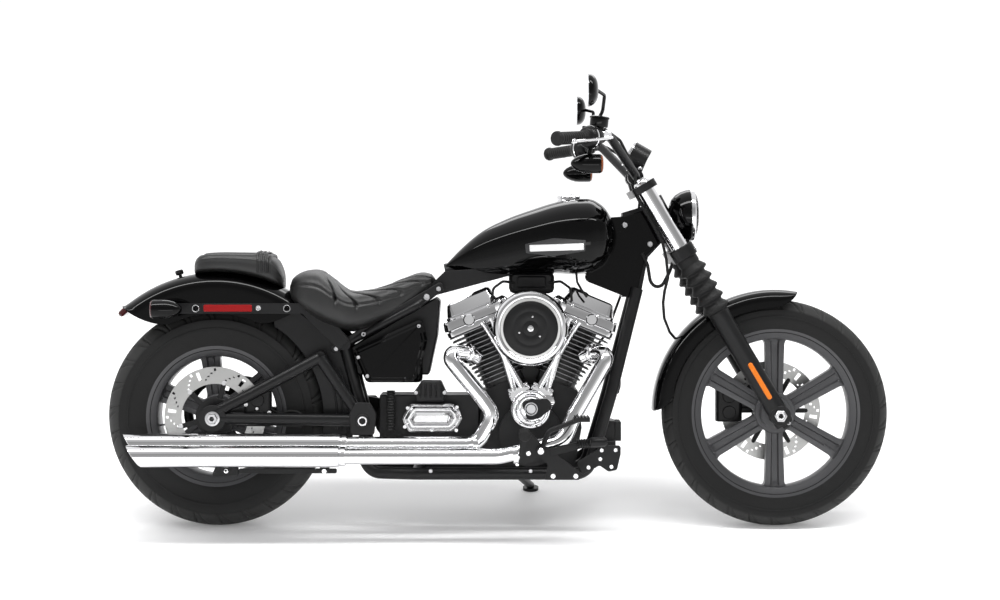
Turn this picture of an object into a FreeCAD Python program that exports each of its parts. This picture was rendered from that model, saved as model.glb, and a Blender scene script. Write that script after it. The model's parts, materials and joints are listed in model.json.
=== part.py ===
import FreeCAD, Part
import math
import os

import Sketcher
from FreeCAD import Placement, Rotation, Vector

# Cruiser motorcycle on its side stand. Every piece is drawn on the upright machine: X forward,
# Y to the left, Z up, X zero midway between the axles and Z zero at the ground. One placement
# then leans the whole machine onto its stand and sets the origin under the middle of its box.

doc = FreeCAD.newDocument("cruiser_motorcycle")
sheet = doc.addObject("Spreadsheet::Sheet", "Sizes")


class Size(float):
    """A number that remembers the sheet expression it comes from."""

    def __new__(cls, number, rule):
        size = float.__new__(cls, number)
        size.rule = rule
        return size

    def __neg__(self):
        return Size(-float(self), "(-%s)" % self.rule)

    def __add__(self, other):
        return Size(float(self) + float(other), "(%s + %s)" % (self.rule, rule(other)))

    def __radd__(self, other):
        return Size(float(other) + float(self), "(%s + %s)" % (rule(other), self.rule))

    def __sub__(self, other):
        return Size(float(self) - float(other), "(%s - %s)" % (self.rule, rule(other)))

    def __rsub__(self, other):
        return Size(float(other) - float(self), "(%s - %s)" % (rule(other), self.rule))

    def __mul__(self, other):
        return Size(float(self) * float(other), "(%s * %s)" % (self.rule, rule(other)))

    __rmul__ = __mul__

    def __truediv__(self, other):
        return Size(float(self) / float(other), "(%s / %s)" % (self.rule, rule(other)))


def rule(value):
    """The sheet expression of a size, or the number itself."""
    return getattr(value, "rule", "(%r)" % float(value))


def abs_size(size):
    """A size without its sign."""
    return size if float(size) > 0 else -size


def sine(angle):
    """The sine of an angle in degrees, as a size."""
    return Size(math.sin(math.radians(angle)), "sin(%s * 1deg)" % rule(angle))


def cosine(angle):
    """The cosine of an angle in degrees, as a size."""
    return Size(math.cos(math.radians(angle)), "cos(%s * 1deg)" % rule(angle))


def tangent(angle):
    """The tangent of an angle in degrees, as a size."""
    return Size(math.tan(math.radians(angle)), "tan(%s * 1deg)" % rule(angle))


class Sizes:
    """The named sizes, read as s.name."""


s = Sizes()


def add_sizes(sizes):
    """Write named sizes to rows of the sheet and keep each under its name."""
    for name, number in sizes.items():
        cell = "B%d" % (len(vars(s)) + 1)
        sheet.set(cell.replace("B", "A"), name)
        sheet.set(cell, str(number))
        sheet.setAlias(cell, name)
        setattr(s, name, Size(number, "Sizes." + name))


parts = {}
ALONG_X = Rotation(Vector(0, 1, 0), 90)
ALONG_Y = Rotation(Vector(1, 0, 0), -90)
ALONG_Z = Rotation()


def keep(label, item):
    """Enter a finished sub-part under the name of its file."""
    item.Label = label
    parts[label] = item
    return item


def bind(item, **values):
    """Set properties of an item from sizes, by their sheet expressions."""
    for name, value in values.items():
        item.setExpression(name, rule(value))


def place(item, x, y, z, turn=ALONG_Z):
    """Stand an item at a point, turned, with each coordinate tied to the sheet."""
    item.Placement = Placement(Vector(x, y, z), turn)
    for axis, value in (("x", x), ("y", y), ("z", z)):
        if hasattr(value, "rule"):
            item.setExpression("Placement.Base." + axis, value.rule)
    return item


def cylinder(name, radius, length, x, y, z, turn=ALONG_Z):
    """A round bar from its foot at a point."""
    bar = doc.addObject("Part::Cylinder", name)
    bind(bar, Radius=radius, Height=length)
    return place(bar, x, y, z, turn)


def across(name, radius, length, x, y, z):
    """A round bar along Y with its middle at a point."""
    return cylinder(name, radius, length, x, y - length / 2, z, ALONG_Y)


def ring(name, outer, inner, length, x, y, z, turn=ALONG_Y):
    """A round bar with a bore right through it, from its foot at a point."""
    return cut(name, cylinder(name + "_outside", outer, length, x, y, z, turn),
               cylinder(name + "_bore", inner, length, x, y, z, turn))


def cone(name, low, high, length, x, y, z, turn=ALONG_Z):
    """A tapered round bar from its foot at a point."""
    bar = doc.addObject("Part::Cone", name)
    bind(bar, Radius1=low, Radius2=high, Height=length)
    return place(bar, x, y, z, turn)


def block(name, length, width, height, x, y, z, turn=ALONG_Z):
    """A block from its lowest corner."""
    box = doc.addObject("Part::Box", name)
    bind(box, Length=length, Width=width, Height=height)
    return place(box, x, y, z, turn)


def centred(name, length, width, height, x, y, z):
    """A block with its middle at a point."""
    return block(name, length, width, height, x - length / 2, y - width / 2, z - height / 2)


def fuse(name, *items):
    """Join pieces into one."""
    joined = doc.addObject("Part::MultiFuse", name)
    joined.Shapes = list(items)
    joined.Refine = False
    return joined


def cut(name, base, *tools):
    """Take tools away from a base."""
    taken = doc.addObject("Part::Cut", name)
    taken.Base = base
    taken.Tool = tools[0] if len(tools) == 1 else fuse(name + "_tools", *tools)
    taken.Refine = False
    return taken


def rounded(name, base, radius, edges):
    """Round numbered edges of a piece."""
    fillet = doc.addObject("Part::Fillet", name)
    fillet.Base = base
    fillet.Edges = [(edge, float(radius), float(radius)) for edge in edges]
    return fillet


BOX_UPRIGHT_EDGES = (1, 3, 5, 7)


def plate(name, length, width, height, corner, x, y, z):
    """A flat block with rounded upright corners, its middle at a point."""
    return rounded(name, centred(name + "_blank", length, width, height, x, y, z),
                   corner, BOX_UPRIGHT_EDGES)


def plane_of(body, role):
    """One of a body's own origin planes or axes."""
    return [item for item in body.Origin.OriginFeatures if item.Role == role][0]


def outline(body, role, corners, rounds=None):
    """Sketch a closed outline whose corners are tied to the sheet.

    rounds gives, by the number of the corner that a side starts from, the radius of the arc
    that replaces that side. It bulges to the right of the way the outline runs, or to the left
    where the radius is negative.
    """
    sketch = body.newObject("Sketcher::SketchObject", body.Name + "_outline")
    sketch.AttachmentSupport = [(plane_of(body, role), "")]
    sketch.MapMode = "FlatFace"
    count = len(corners)
    points = [Vector(across_size, up_size, 0) for across_size, up_size in corners]
    rounds = rounds or {}
    first_end, last_end = [1] * count, [2] * count
    for number, start in enumerate(points):
        end = points[(number + 1) % count]
        if number not in rounds:
            sketch.addGeometry(Part.LineSegment(start, end))
            continue
        if float(rounds[number]) < 0:
            start, end = end, start
            first_end[number], last_end[number] = 2, 1
        chord = end - start
        inward = Vector(-chord.y, chord.x, 0).normalize()
        radius = abs(float(rounds[number]))
        centre = (start + end) / 2 + inward * math.sqrt(max(radius ** 2 - chord.Length ** 2 / 4, 0))
        angles = [math.atan2(point.y - centre.y, point.x - centre.x) for point in (start, end)]
        sketch.addGeometry(Part.ArcOfCircle(Part.Circle(centre, Vector(0, 0, 1), radius), *angles))
    for number in range(count):
        following = (number + 1) % count
        sketch.addConstraint(Sketcher.Constraint("Coincident", number, last_end[number],
                                                 following, first_end[following]))
    for number, corner in enumerate(corners):
        for kind, value in zip(("DistanceX", "DistanceY"), corner):
            index = sketch.addConstraint(Sketcher.Constraint(kind, -1, 1, number, first_end[number],
                                                             float(value)))
            bind_constraint(sketch, index, "%s_%d" % (kind.lower(), number), value)
    for number, radius in rounds.items():
        radius = abs_size(radius)
        index = sketch.addConstraint(Sketcher.Constraint("Radius", number, float(radius)))
        bind_constraint(sketch, index, "radius_%d" % number, radius)
    return sketch


def bind_constraint(sketch, index, name, value):
    """Name one constraint of a sketch and tie it to the sheet."""
    sketch.renameConstraint(index, name)
    if hasattr(value, "rule"):
        sketch.setExpression("Constraints." + name, value.rule)


def new_body(name):
    """An empty body for sketched features."""
    return doc.addObject("PartDesign::Body", name)


def revolve(body, sketch, axis="H_Axis"):
    """Turn a sketch right round one of its own axes."""
    feature = body.newObject("PartDesign::Revolution", body.Name + "_turned")
    feature.Profile = sketch
    feature.ReferenceAxis = (sketch, [axis])
    feature.Angle = 360
    body.Tip = feature
    return feature


def pad(body, sketch, length, symmetric=True, reverse=False):
    """Raise a sketch to a length."""
    feature = body.newObject("PartDesign::Pad", body.Name + "_pad")
    feature.Profile = sketch
    feature.SideType = "Symmetric" if symmetric else "One side"
    feature.Reversed = reverse
    bind(feature, Length=length)
    body.Tip = feature
    return feature


def spread(body, feature, count, role="Y_Axis"):
    """Repeat a feature round one of the body's axes."""
    doc.recompute()
    pattern = body.newObject("PartDesign::PolarPattern", body.Name + "_spread")
    pattern.Originals = [feature]
    pattern.Axis = (plane_of(body, role), [""])
    pattern.Angle = 360
    pattern.Occurrences = count
    body.Tip = pattern
    return pattern


def slab(name, corners, thickness, y, rounds=None):
    """A flat piece in the X-Z plane, its outline padded evenly to both sides of one Y."""
    body = new_body(name)
    pad(body, outline(body, "XZ_Plane", corners, rounds), thickness)
    return place(body, 0, y, 0)


def bent_path(points, bend):
    """Straight runs joined by tangent arcs of one bend radius."""
    edges, start = [], points[0]
    for before, corner, after in zip(points, points[1:], points[2:]):
        back = (before - corner).normalize()
        ahead = (after - corner).normalize()
        half = back.getAngle(ahead) / 2
        reach = float(bend) / math.tan(half)
        middle = (back + ahead).normalize()
        centre = corner + middle * (float(bend) / math.sin(half))
        first, last = corner + back * reach, corner + ahead * reach
        edges.append(Part.LineSegment(start, first).toShape())
        edges.append(Part.Arc(first, centre - middle * float(bend), last).toShape())
        start = last
    edges.append(Part.LineSegment(start, points[-1]).toShape())
    return Part.Wire(edges)


def tube(name, points, radius, bend=0):
    """A round tube along straight runs and bends."""
    points = [Vector(*point) for point in points]
    path = doc.addObject("Part::Feature", name + "_path")
    path.Shape = bent_path(points, bend)
    section = doc.addObject("Part::Circle", name + "_section")
    bind(section, Radius=radius)
    section.Placement = Placement(points[0], Rotation(Vector(0, 0, 1), points[1] - points[0]))
    sweep = doc.addObject("Part::Sweep", name)
    sweep.Sections = [section]
    sweep.Spine = (path, ["Edge%d" % (number + 1) for number in range(len(path.Shape.Edges))])
    sweep.Solid = True
    return sweep


def loft(name, stations):
    """A closed form through rounded sections that stand across the X axis.

    Each station is x, middle height, half height, half width and squareness: 2 is an ellipse
    and a larger number is squarer.
    """
    wires = []
    for x, middle, half_height, half_width, squareness in stations:
        points = []
        for step in range(24):
            turn = math.radians(360 * step / 24)
            across_share = math.copysign(abs(math.cos(turn)) ** (2 / squareness), math.cos(turn))
            up_share = math.copysign(abs(math.sin(turn)) ** (2 / squareness), math.sin(turn))
            points.append(Vector(x, half_width * across_share, middle + half_height * up_share))
        curve = Part.BSplineCurve()
        curve.interpolate(points, PeriodicFlag=True)
        wires.append(Part.Wire([curve.toShape()]))
    form = doc.addObject("Part::Feature", name)
    form.Shape = Part.makeLoft(wires, True, False)
    return form


def arch_guard(name, radius, side_depth, half_width, shoulder, thickness, start, end, x, z):
    """A mudguard: a U section turned about the axle from one angle to another."""
    inner_width = half_width - thickness
    outer = [(-half_width, radius - side_depth), (-half_width, radius - shoulder),
             (-half_width + shoulder, radius), (half_width - shoulder, radius),
             (half_width, radius - shoulder), (half_width, radius - side_depth)]
    inner = [(inner_width, radius - side_depth), (inner_width, radius - shoulder),
             (half_width - shoulder, radius - thickness), (-half_width + shoulder, radius - thickness),
             (-inner_width, radius - shoulder), (-inner_width, radius - side_depth)]
    body = new_body(name)
    inner_round = thickness - shoulder
    sketch = outline(body, "YZ_Plane", (outer + inner)[::-1],
                     {1: inner_round, 3: inner_round, 7: shoulder, 9: shoulder})
    feature = body.newObject("PartDesign::Revolution", name + "_turned")
    feature.Profile = sketch
    feature.ReferenceAxis = (sketch, ["H_Axis"])
    bind(feature, Angle=end - start)
    body.Tip = feature
    place(body, x, 0, z, Rotation(Vector(0, 1, 0), 90 - float(end)))
    return body


# Sizes that place everything else
LAYOUT_SIZES = {
    "wheelbase": 1630,
    "lean_angle": 12,
    "rake_angle": 28,
    "trail": 150,
    "fork_angle": 30.7,
    "front_tyre_radius": 331,
    "front_crown_radius": 54,
    "rear_tyre_radius": 323,
    "rear_crown_radius": 85,
    "running_gap": 0.5,
    "brake_gap": 3,
    "overrun": 40,
}
add_sizes(LAYOUT_SIZES)
front_x = s.wheelbase / 2
rear_x = -s.wheelbase / 2
front_z = s.front_tyre_radius - s.front_crown_radius + s.front_crown_radius / cosine(s.lean_angle)
rear_z = s.rear_tyre_radius - s.rear_crown_radius + s.rear_crown_radius / cosine(s.lean_angle)

# Wheels: cast rims with six spokes, tyres, brake discs and the belt sprocket
WHEEL_SIZES = {
    "front_tyre_half_width": 50,
    "front_rim_radius": 255,
    "front_rim_half_width": 42,
    "front_seat_radius": 243,
    "front_rim_inner_radius": 216,
    "front_hub_radius": 60,
    "front_hub_half_length": 60,
    "front_disc_radius": 147,
    "front_disc_y": 72,
    "rear_tyre_half_width": 75,
    "rear_rim_radius": 214,
    "rear_rim_half_width": 60,
    "rear_seat_radius": 203,
    "rear_rim_inner_radius": 174,
    "rear_hub_radius": 62,
    "rear_hub_half_length": 76,
    "rear_disc_radius": 146,
    "rear_disc_y": -92,
    "rim_flange": 7,
    "rim_wall": 7,
    "spoke_rim_width": 58,
    "spoke_hub_width": 46,
    "spoke_depth": 34,
    "spoke_count": 6,
    "axle_radius": 12.5,
    "axle_bore_radius": 7,
    "disc_thickness": 5,
    "disc_band": 44,
    "disc_carrier_radius": 52,
    "sidewall_round": 60,
}
add_sizes(WHEEL_SIZES)


def tyre(end, hub_x, hub_z):
    """One tyre: beads inside the rim flanges, round sidewalls and a round crown."""
    radius, crown = getattr(s, end + "_tyre_radius"), getattr(s, end + "_crown_radius")
    half_width, flange = getattr(s, end + "_tyre_half_width"), getattr(s, end + "_rim_radius")
    bead = getattr(s, end + "_rim_half_width") - s.rim_flange
    seat = getattr(s, end + "_seat_radius")
    edge = half_width * 0.88
    edge_height = radius - crown + (crown * crown - edge * edge) ** 0.5
    edge_height = Size(edge_height, "(%s + sqrt(%s * %s - %s * %s))" % (
        (radius - crown).rule, crown.rule, crown.rule, edge.rule, edge.rule))
    belly = flange + (edge_height - flange) * 0.45
    body = new_body(end + "_tyre")
    corners = [(-bead, seat), (bead, seat), (bead, flange + s.rim_flange), (half_width, belly),
               (edge, edge_height), (-edge, edge_height), (-half_width, belly),
               (-bead, flange + s.rim_flange)]
    rounds = {2: s.sidewall_round, 3: s.sidewall_round, 4: crown,
              5: s.sidewall_round, 6: s.sidewall_round}
    revolve(body, outline(body, "YZ_Plane", corners, rounds))
    return place(body, hub_x, 0, hub_z)


def cast_wheel(end, hub_x, hub_z, first_spoke):
    """One cast wheel: a dished rim, six spokes and a bored hub."""
    flange, seat = getattr(s, end + "_rim_radius"), getattr(s, end + "_seat_radius")
    half_width, inner = getattr(s, end + "_rim_half_width"), getattr(s, end + "_rim_inner_radius")
    hub, hub_half = getattr(s, end + "_hub_radius"), getattr(s, end + "_hub_half_length")
    bead = half_width - s.rim_flange
    well = half_width * 0.55
    body = new_body(end + "_wheel_cast")
    rim = [(-half_width, flange), (-half_width, seat - s.rim_wall), (-well, inner), (well, inner),
           (half_width, seat - s.rim_wall), (half_width, flange), (bead, flange), (bead, seat),
           (-bead, seat), (-bead, flange)]
    revolve(body, outline(body, "YZ_Plane", rim))
    core = [(-hub_half, s.axle_radius + s.running_gap), (hub_half, s.axle_radius + s.running_gap),
            (hub_half, hub * 0.72), (s.spoke_depth * 0.8, hub), (-s.spoke_depth * 0.8, hub),
            (-hub_half, hub * 0.72)]
    revolve(body, outline(body, "YZ_Plane", core))
    foot, tip = hub * 0.94, inner + s.rim_wall * 0.5
    arm = [(-s.spoke_hub_width / 2, foot), (s.spoke_hub_width / 2, foot),
           (s.spoke_rim_width / 2, tip), (-s.spoke_rim_width / 2, tip)]
    spread(body, pad(body, outline(body, "XZ_Plane", arm), s.spoke_depth), int(s.spoke_count))
    return place(body, hub_x, 0, hub_z, Rotation(Vector(0, 1, 0), -first_spoke))


def brake_disc(end, hub_x, hub_z):
    """One brake disc: a steel band on a carrier that bolts to the end of the hub."""
    radius, y = getattr(s, end + "_disc_radius"), getattr(s, end + "_disc_y")
    side = y / abs(float(y))
    hub_half = getattr(s, end + "_hub_half_length")
    middle = ring(end + "_disc_hub", s.disc_carrier_radius, s.axle_radius + s.running_gap,
                  abs_size(y) - hub_half + s.disc_thickness / 2, hub_x,
                  hub_half if float(side) > 0 else y - s.disc_thickness / 2, hub_z)
    band = ring(end + "_disc_band", radius, radius - s.disc_band, s.disc_thickness,
                hub_x, y - s.disc_thickness / 2, hub_z)
    arms = [block(end + "_disc_arm_%d" % number, radius * 2 - s.disc_band, s.disc_thickness,
                  s.disc_carrier_radius * 0.6, 0, 0, 0) for number in range(3)]
    for number, arm in enumerate(arms):
        turn = Rotation(Vector(0, 1, 0), 60 * number)
        reach = turn.multVec(Vector(-(float(radius) - float(s.disc_band) / 2), 0,
                                    -float(s.disc_carrier_radius) * 0.3))
        arm.Placement = Placement(Vector(hub_x, float(y) - float(s.disc_thickness) / 2, hub_z) + reach, turn)
    spider = cut(end + "_disc_spider", fuse(end + "_disc_arms", *arms),
                 across(end + "_disc_arm_bore", s.axle_radius + s.running_gap, s.overrun * 2,
                        hub_x, y, hub_z))
    return fuse(end + "_disc", middle, band, spider)


keep("front_tyre", tyre("front", front_x, front_z))
keep("front_wheel_cast", cast_wheel("front", front_x, front_z, 30))
keep("front_brake_disc", brake_disc("front", front_x, front_z))
keep("rear_tyre", tyre("rear", rear_x, rear_z))
keep("rear_wheel_cast", cast_wheel("rear", rear_x, rear_z, 38))
keep("rear_brake_disc", brake_disc("rear", rear_x, rear_z))

BRAKE_SIZES = {
    "sprocket_radius": 108,
    "sprocket_y": 96,
    "sprocket_width": 30,
    "belt_thickness": 8,
    "belt_width": 26,
    "belt_gap": 1,
    "front_sprocket_radius": 52,
    "front_sprocket_x": -312,
    "front_sprocket_z": 300,
}
add_sizes(BRAKE_SIZES)
keep("rear_sprocket", cut(
    "rear_sprocket_turned",
    fuse("rear_sprocket_solid",
         across("rear_sprocket_rim", s.sprocket_radius, s.sprocket_width, rear_x, s.sprocket_y, rear_z),
         cylinder("rear_sprocket_boss", s.rear_hub_radius * 0.7,
                  s.sprocket_y - s.rear_hub_half_length, rear_x, s.rear_hub_half_length, rear_z, ALONG_Y)),
    across("rear_sprocket_bore", s.axle_radius + s.running_gap, s.overrun * 4,
           rear_x, s.sprocket_y, rear_z)))


def belt_loop(name, grow, width):
    """The space inside a belt over its two sprockets, grown outwards by a distance."""
    big, small = s.sprocket_radius + grow, s.front_sprocket_radius + grow
    rise = float(rear_z - s.front_sprocket_z)
    run = float(s.front_sprocket_x - rear_x)
    slope = math.atan2(-rise, run)
    spread_angle = math.acos((float(big) - float(small)) / math.hypot(run, rise))
    corners = []
    for side in (1, -1):
        turn = slope + side * spread_angle
        touch = [(rear_x + float(big) * math.cos(turn), rear_z + float(big) * math.sin(turn)),
                 (s.front_sprocket_x + float(small) * math.cos(turn),
                  s.front_sprocket_z + float(small) * math.sin(turn))]
        corners += touch if side > 0 else touch[::-1]
    web = slab(name + "_web", corners[::-1], width, s.sprocket_y)
    return fuse(name, web, across(name + "_rear", big, width, rear_x, s.sprocket_y, rear_z),
                across(name + "_front", small, width, s.front_sprocket_x, s.sprocket_y,
                       s.front_sprocket_z))


keep("drive_belt", cut("drive_belt_loop",
                       belt_loop("belt_outside", s.belt_gap + s.belt_thickness, s.belt_width),
                       belt_loop("belt_inside", s.belt_gap, s.belt_width + s.overrun)))

# Frame: two cradle tubes, a backbone with the steering head, seat rails and the rear uprights
FRAME_SIZES = {
    "frame_tube_radius": 17.5,
    "seat_rail_radius": 12.5,
    "frame_half_width": 96,
    "upright_half_width": 58,
    "rail_top_half_width": 78,
    "rail_turn_x": -230,
    "upright_bend_z": 420,
    "backbone_radius": 27,
    "rail_z": 162,
    "cradle_front_x": 262,
    "down_tube_top_x": 402,
    "down_tube_top_z": 672,
    "pivot_x": -384,
    "pivot_z": 319,
    "rear_upright_top_x": -440,
    "rear_upright_top_z": 536,
    "seat_rail_front_x": -150,
    "seat_rail_front_z": 714,
    "cradle_bend": 70,
    "pivot_bolt_radius": 9,
    "head_radius": 31,
    "head_bore_radius": 17,
    "head_low_z": 842,
    "head_high_z": 958,
    "neck_half_width": 40,
    "backbone_front_x": 420,
    "backbone_front_z": 868,
    "backbone_rear_z": 742,
}
add_sizes(FRAME_SIZES)
steer_ground_x = front_x + s.trail


def steer_x(height):
    """The X of the steering axis at a height."""
    return steer_ground_x - height * tangent(s.rake_angle)


def cradle(name, side):
    """One side of the cradle, from the neck down, under the engine and up behind it."""
    y = s.frame_half_width * side
    waist = s.upright_half_width * side
    return tube(name, [(s.down_tube_top_x + s.frame_tube_radius * 0.4,
                        (s.neck_half_width + s.frame_tube_radius + s.running_gap) * side,
                        s.down_tube_top_z + s.frame_tube_radius * 1.4),
                       (s.down_tube_top_x - s.frame_half_width * 0.75, y, s.pivot_z + s.cradle_bend),
                       (s.cradle_front_x, y, s.rail_z),
                       (s.rail_turn_x, y, s.rail_z),
                       (s.pivot_x, waist, s.rail_z),
                       (s.pivot_x, waist, s.pivot_z),
                       ((s.pivot_x + s.rear_upright_top_x) / 2, waist, s.upright_bend_z),
                       (s.rear_upright_top_x, s.rail_top_half_width * side, s.rear_upright_top_z)],
                s.frame_tube_radius, s.cradle_bend * 0.7)


def seat_rail(name, side):
    """One seat rail, from the backbone down to the head of the rear upright."""
    return tube(name, [(s.seat_rail_front_x, s.frame_half_width * 0.3 * side, s.seat_rail_front_z),
                       (s.seat_rail_front_x - s.frame_half_width * 0.9, s.frame_half_width * side,
                        s.seat_rail_front_z - s.cradle_bend),
                       (s.rear_upright_top_x, s.rail_top_half_width * side, s.rear_upright_top_z)],
                s.seat_rail_radius, s.cradle_bend * 0.5)


head_turn = Rotation(Vector(0, 1, 0), -float(s.rake_angle))
head_length = (s.head_high_z - s.head_low_z) / cosine(s.rake_angle)
backbone_rear_x = s.seat_rail_front_x
backbone = tube("backbone", [(s.backbone_front_x, 0, s.backbone_front_z),
                             (backbone_rear_x, 0, s.backbone_rear_z)], s.backbone_radius)
head_tube = cylinder("head_tube", s.head_radius, head_length, steer_x(s.head_low_z), 0, s.head_low_z,
                     head_turn)
neck_corners = [
    (steer_x(s.head_low_z) - s.head_radius * 0.8, s.head_low_z),
    (steer_x(s.head_high_z) - s.head_radius * 0.6, s.head_high_z - s.head_radius * 0.6),
    (steer_x(s.head_high_z) - s.neck_half_width * 2.2, s.head_high_z - s.neck_half_width),
    (s.down_tube_top_x - s.neck_half_width, s.backbone_front_z - s.backbone_radius * 2),
    (s.down_tube_top_x - s.neck_half_width * 0.9, s.down_tube_top_z),
    (s.down_tube_top_x + s.frame_tube_radius, s.down_tube_top_z),
    (s.down_tube_top_x + s.neck_half_width, s.backbone_front_z - s.neck_half_width * 2),
]
neck = slab("neck_casting", neck_corners, s.neck_half_width * 2, 0)
head_bore = cylinder("head_bore", s.head_bore_radius, head_length + s.overrun * 2,
                     steer_x(s.head_low_z) + s.overrun * sine(s.rake_angle), 0,
                     s.head_low_z - s.overrun * cosine(s.rake_angle), head_turn)
keep("frame_head", cut("frame_head_bored", fuse("frame_head_solid", backbone, head_tube, neck), head_bore))
cross_high = across("cross_tube_high", s.frame_tube_radius,
                    (s.rail_top_half_width + s.frame_tube_radius + s.seat_rail_radius * 0.2) * 2,
                    s.rear_upright_top_x, 0, s.rear_upright_top_z)
cross_low = across("cross_tube_low", s.frame_tube_radius, s.frame_half_width * 2, s.rail_turn_x, 0, s.rail_z)
cross_front = across("cross_tube_front", s.frame_tube_radius, s.frame_half_width * 2,
                     s.cradle_front_x - s.cradle_bend, 0, s.rail_z)
keep("frame_cradle", cut(
    "frame_cradle_drilled",
    fuse("frame_cradle_tubes", cradle("cradle_right", -1), cradle("cradle_left", 1),
         seat_rail("seat_rail_right", -1), seat_rail("seat_rail_left", 1),
         cross_high, cross_low, cross_front),
    across("pivot_hole", s.pivot_bolt_radius + s.running_gap, s.frame_half_width * 2,
           s.pivot_x, 0, s.pivot_z)))

# Swingarm: two lower arms on a pivot bolt and two upper stays, with the axle boss at their ends
SWINGARM_SIZES = {
    "arm_radius": 17,
    "arm_half_width": 131.5,
    "boss_radius": 36,
    "boss_width": 24,
    "stay_end_x": -508,
    "stay_end_z": 500,
    "stay_bend": 90,
    "axle_half_length": 152,
}
add_sizes(SWINGARM_SIZES)


def arm_side(name, y):
    """One side of the swingarm."""
    low = tube(name + "_low", [(rear_x, y, rear_z), (s.pivot_x, y, s.pivot_z)], s.arm_radius)
    high = tube(name + "_high", [(rear_x, y, rear_z + s.boss_radius * 0.4),
                                 (rear_x + s.boss_radius * 3, y, rear_z + s.boss_radius * 1.9),
                                 (s.stay_end_x, y, s.stay_end_z)], s.arm_radius, s.stay_bend)
    boss = across(name + "_boss", s.boss_radius, s.boss_width, rear_x, y, rear_z)
    post = tube(name + "_post", [(s.stay_end_x, y, s.stay_end_z),
                                 (s.pivot_x, y, s.pivot_z)], s.arm_radius)
    return [low, high, boss, post]


axle_hole = across("rear_axle_hole", s.axle_radius, s.axle_half_length * 2 + s.overrun, rear_x, 0, rear_z)
pivot_bolt = across("pivot_bolt", s.pivot_bolt_radius, s.arm_half_width * 2, s.pivot_x, 0, s.pivot_z)
stay_cross = across("stay_cross", s.arm_radius, s.arm_half_width * 2, s.stay_end_x, 0, s.stay_end_z)
keep("swingarm", cut("swingarm_bored",
                     fuse("swingarm_welded", pivot_bolt, stay_cross,
                          *arm_side("arm_right", -s.arm_half_width),
                          *arm_side("arm_left", s.arm_half_width)), axle_hole))
keep("rear_axle", ring("rear_axle_tube", s.axle_radius, s.axle_bore_radius, s.axle_half_length * 2,
                       rear_x, -s.axle_half_length, rear_z))
SHOCK_SIZES = {
    "shock_radius": 28,
    "shock_front_x": -330.5,
    "shock_z": 481,
}
add_sizes(SHOCK_SIZES)
keep("rear_shock", cylinder("rear_shock_unit", s.shock_radius,
                            s.shock_front_x - s.stay_end_x - s.arm_radius,
                            s.stay_end_x + s.arm_radius, 0, s.shock_z, ALONG_X))

# Engine: crankcase, two finned cylinders in a V, heads, rocker covers and push rod tubes
ENGINE_SIZES = {
    "crank_x": 98,
    "crank_z": 256,
    "bank_angle": 22.5,
    "case_half_width": 74,
    "case_round": 92,
    "deck_height": 186,
    "deck_half_width": 72,
    "fin_count": 13,
    "fin_pitch": 13.2,
    "fin_thickness": 4,
    "barrel_radius": 64,
    "fin_low_half": 66,
    "fin_high_half": 104,
    "fin_side_half": 96,
    "fin_corner": 34,
    "rocker_foot": 364,
    "rocker_step": 410,
    "rocker_top": 455,
    "rocker_half_length": 106,
    "rocker_half_width": 84,
    "rocker_corner": 24,
    "pushrod_radius": 10,
    "pushrod_y": -112,
    "case_bottom_z": 180,
}
add_sizes(ENGINE_SIZES)


def bank_turn(lean):
    """The rotation that leans a piece along one cylinder."""
    return Rotation(Vector(0, 1, 0), lean)


def on_bank(item, lean):
    """Put a piece that was drawn on an upright cylinder onto the crank, leaned."""
    item.Placement = Placement(Vector(s.crank_x, 0, s.crank_z), bank_turn(lean))
    return item


case = new_body("crankcase_middle")
pad(case, outline(case, "XZ_Plane", [
    (s.crank_x - s.case_round * 1.5, s.case_bottom_z),
    (s.crank_x + s.case_round * 1.4, s.case_bottom_z),
    (s.crank_x + s.case_round * 1.62, s.crank_z + s.case_round * 0.4),
    (s.crank_x + s.deck_height * sine(s.bank_angle) + s.deck_half_width * cosine(s.bank_angle),
     s.crank_z + s.deck_height * cosine(s.bank_angle) - s.deck_half_width * sine(s.bank_angle)),
    (s.crank_x + s.deck_height * sine(s.bank_angle),
     s.crank_z + s.deck_height * cosine(s.bank_angle)),
    (s.crank_x, s.crank_z + s.deck_height * 0.86),
    (s.crank_x - s.deck_height * sine(s.bank_angle),
     s.crank_z + s.deck_height * cosine(s.bank_angle)),
    (s.crank_x - s.deck_height * sine(s.bank_angle) - s.deck_half_width * cosine(s.bank_angle),
     s.crank_z + s.deck_height * cosine(s.bank_angle) - s.deck_half_width * sine(s.bank_angle)),
    (s.crank_x - s.case_round * 1.62, s.crank_z + s.case_round * 0.4),
]), s.case_half_width * 2)
keep("crankcase", fuse("crankcase_solid", case,
                       across("crank_bulge", s.case_round, s.case_half_width * 2 + s.overrun,
                              s.crank_x, 0, s.crank_z + s.case_round * 0.2)))


def fin_stack(name, lean):
    """Square fins with round corners on a round barrel, growing wider with height."""
    pieces = []
    for number in range(int(s.fin_count)):
        share = number / float(s.fin_count - 1)
        half = s.fin_low_half + (s.fin_high_half - s.fin_low_half) * share
        height = s.deck_height + s.fin_pitch * (number + 0.8)
        pieces.append(plate("%s_fin_%d" % (name, number), half * 2, s.fin_side_half * 2, s.fin_thickness,
                            s.fin_corner, 0, 0, height))
    pieces.append(cylinder(name + "_core", s.barrel_radius, s.rocker_foot - s.deck_height, 0, 0,
                           s.deck_height))
    return on_bank(fuse(name, *pieces), lean)


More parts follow.
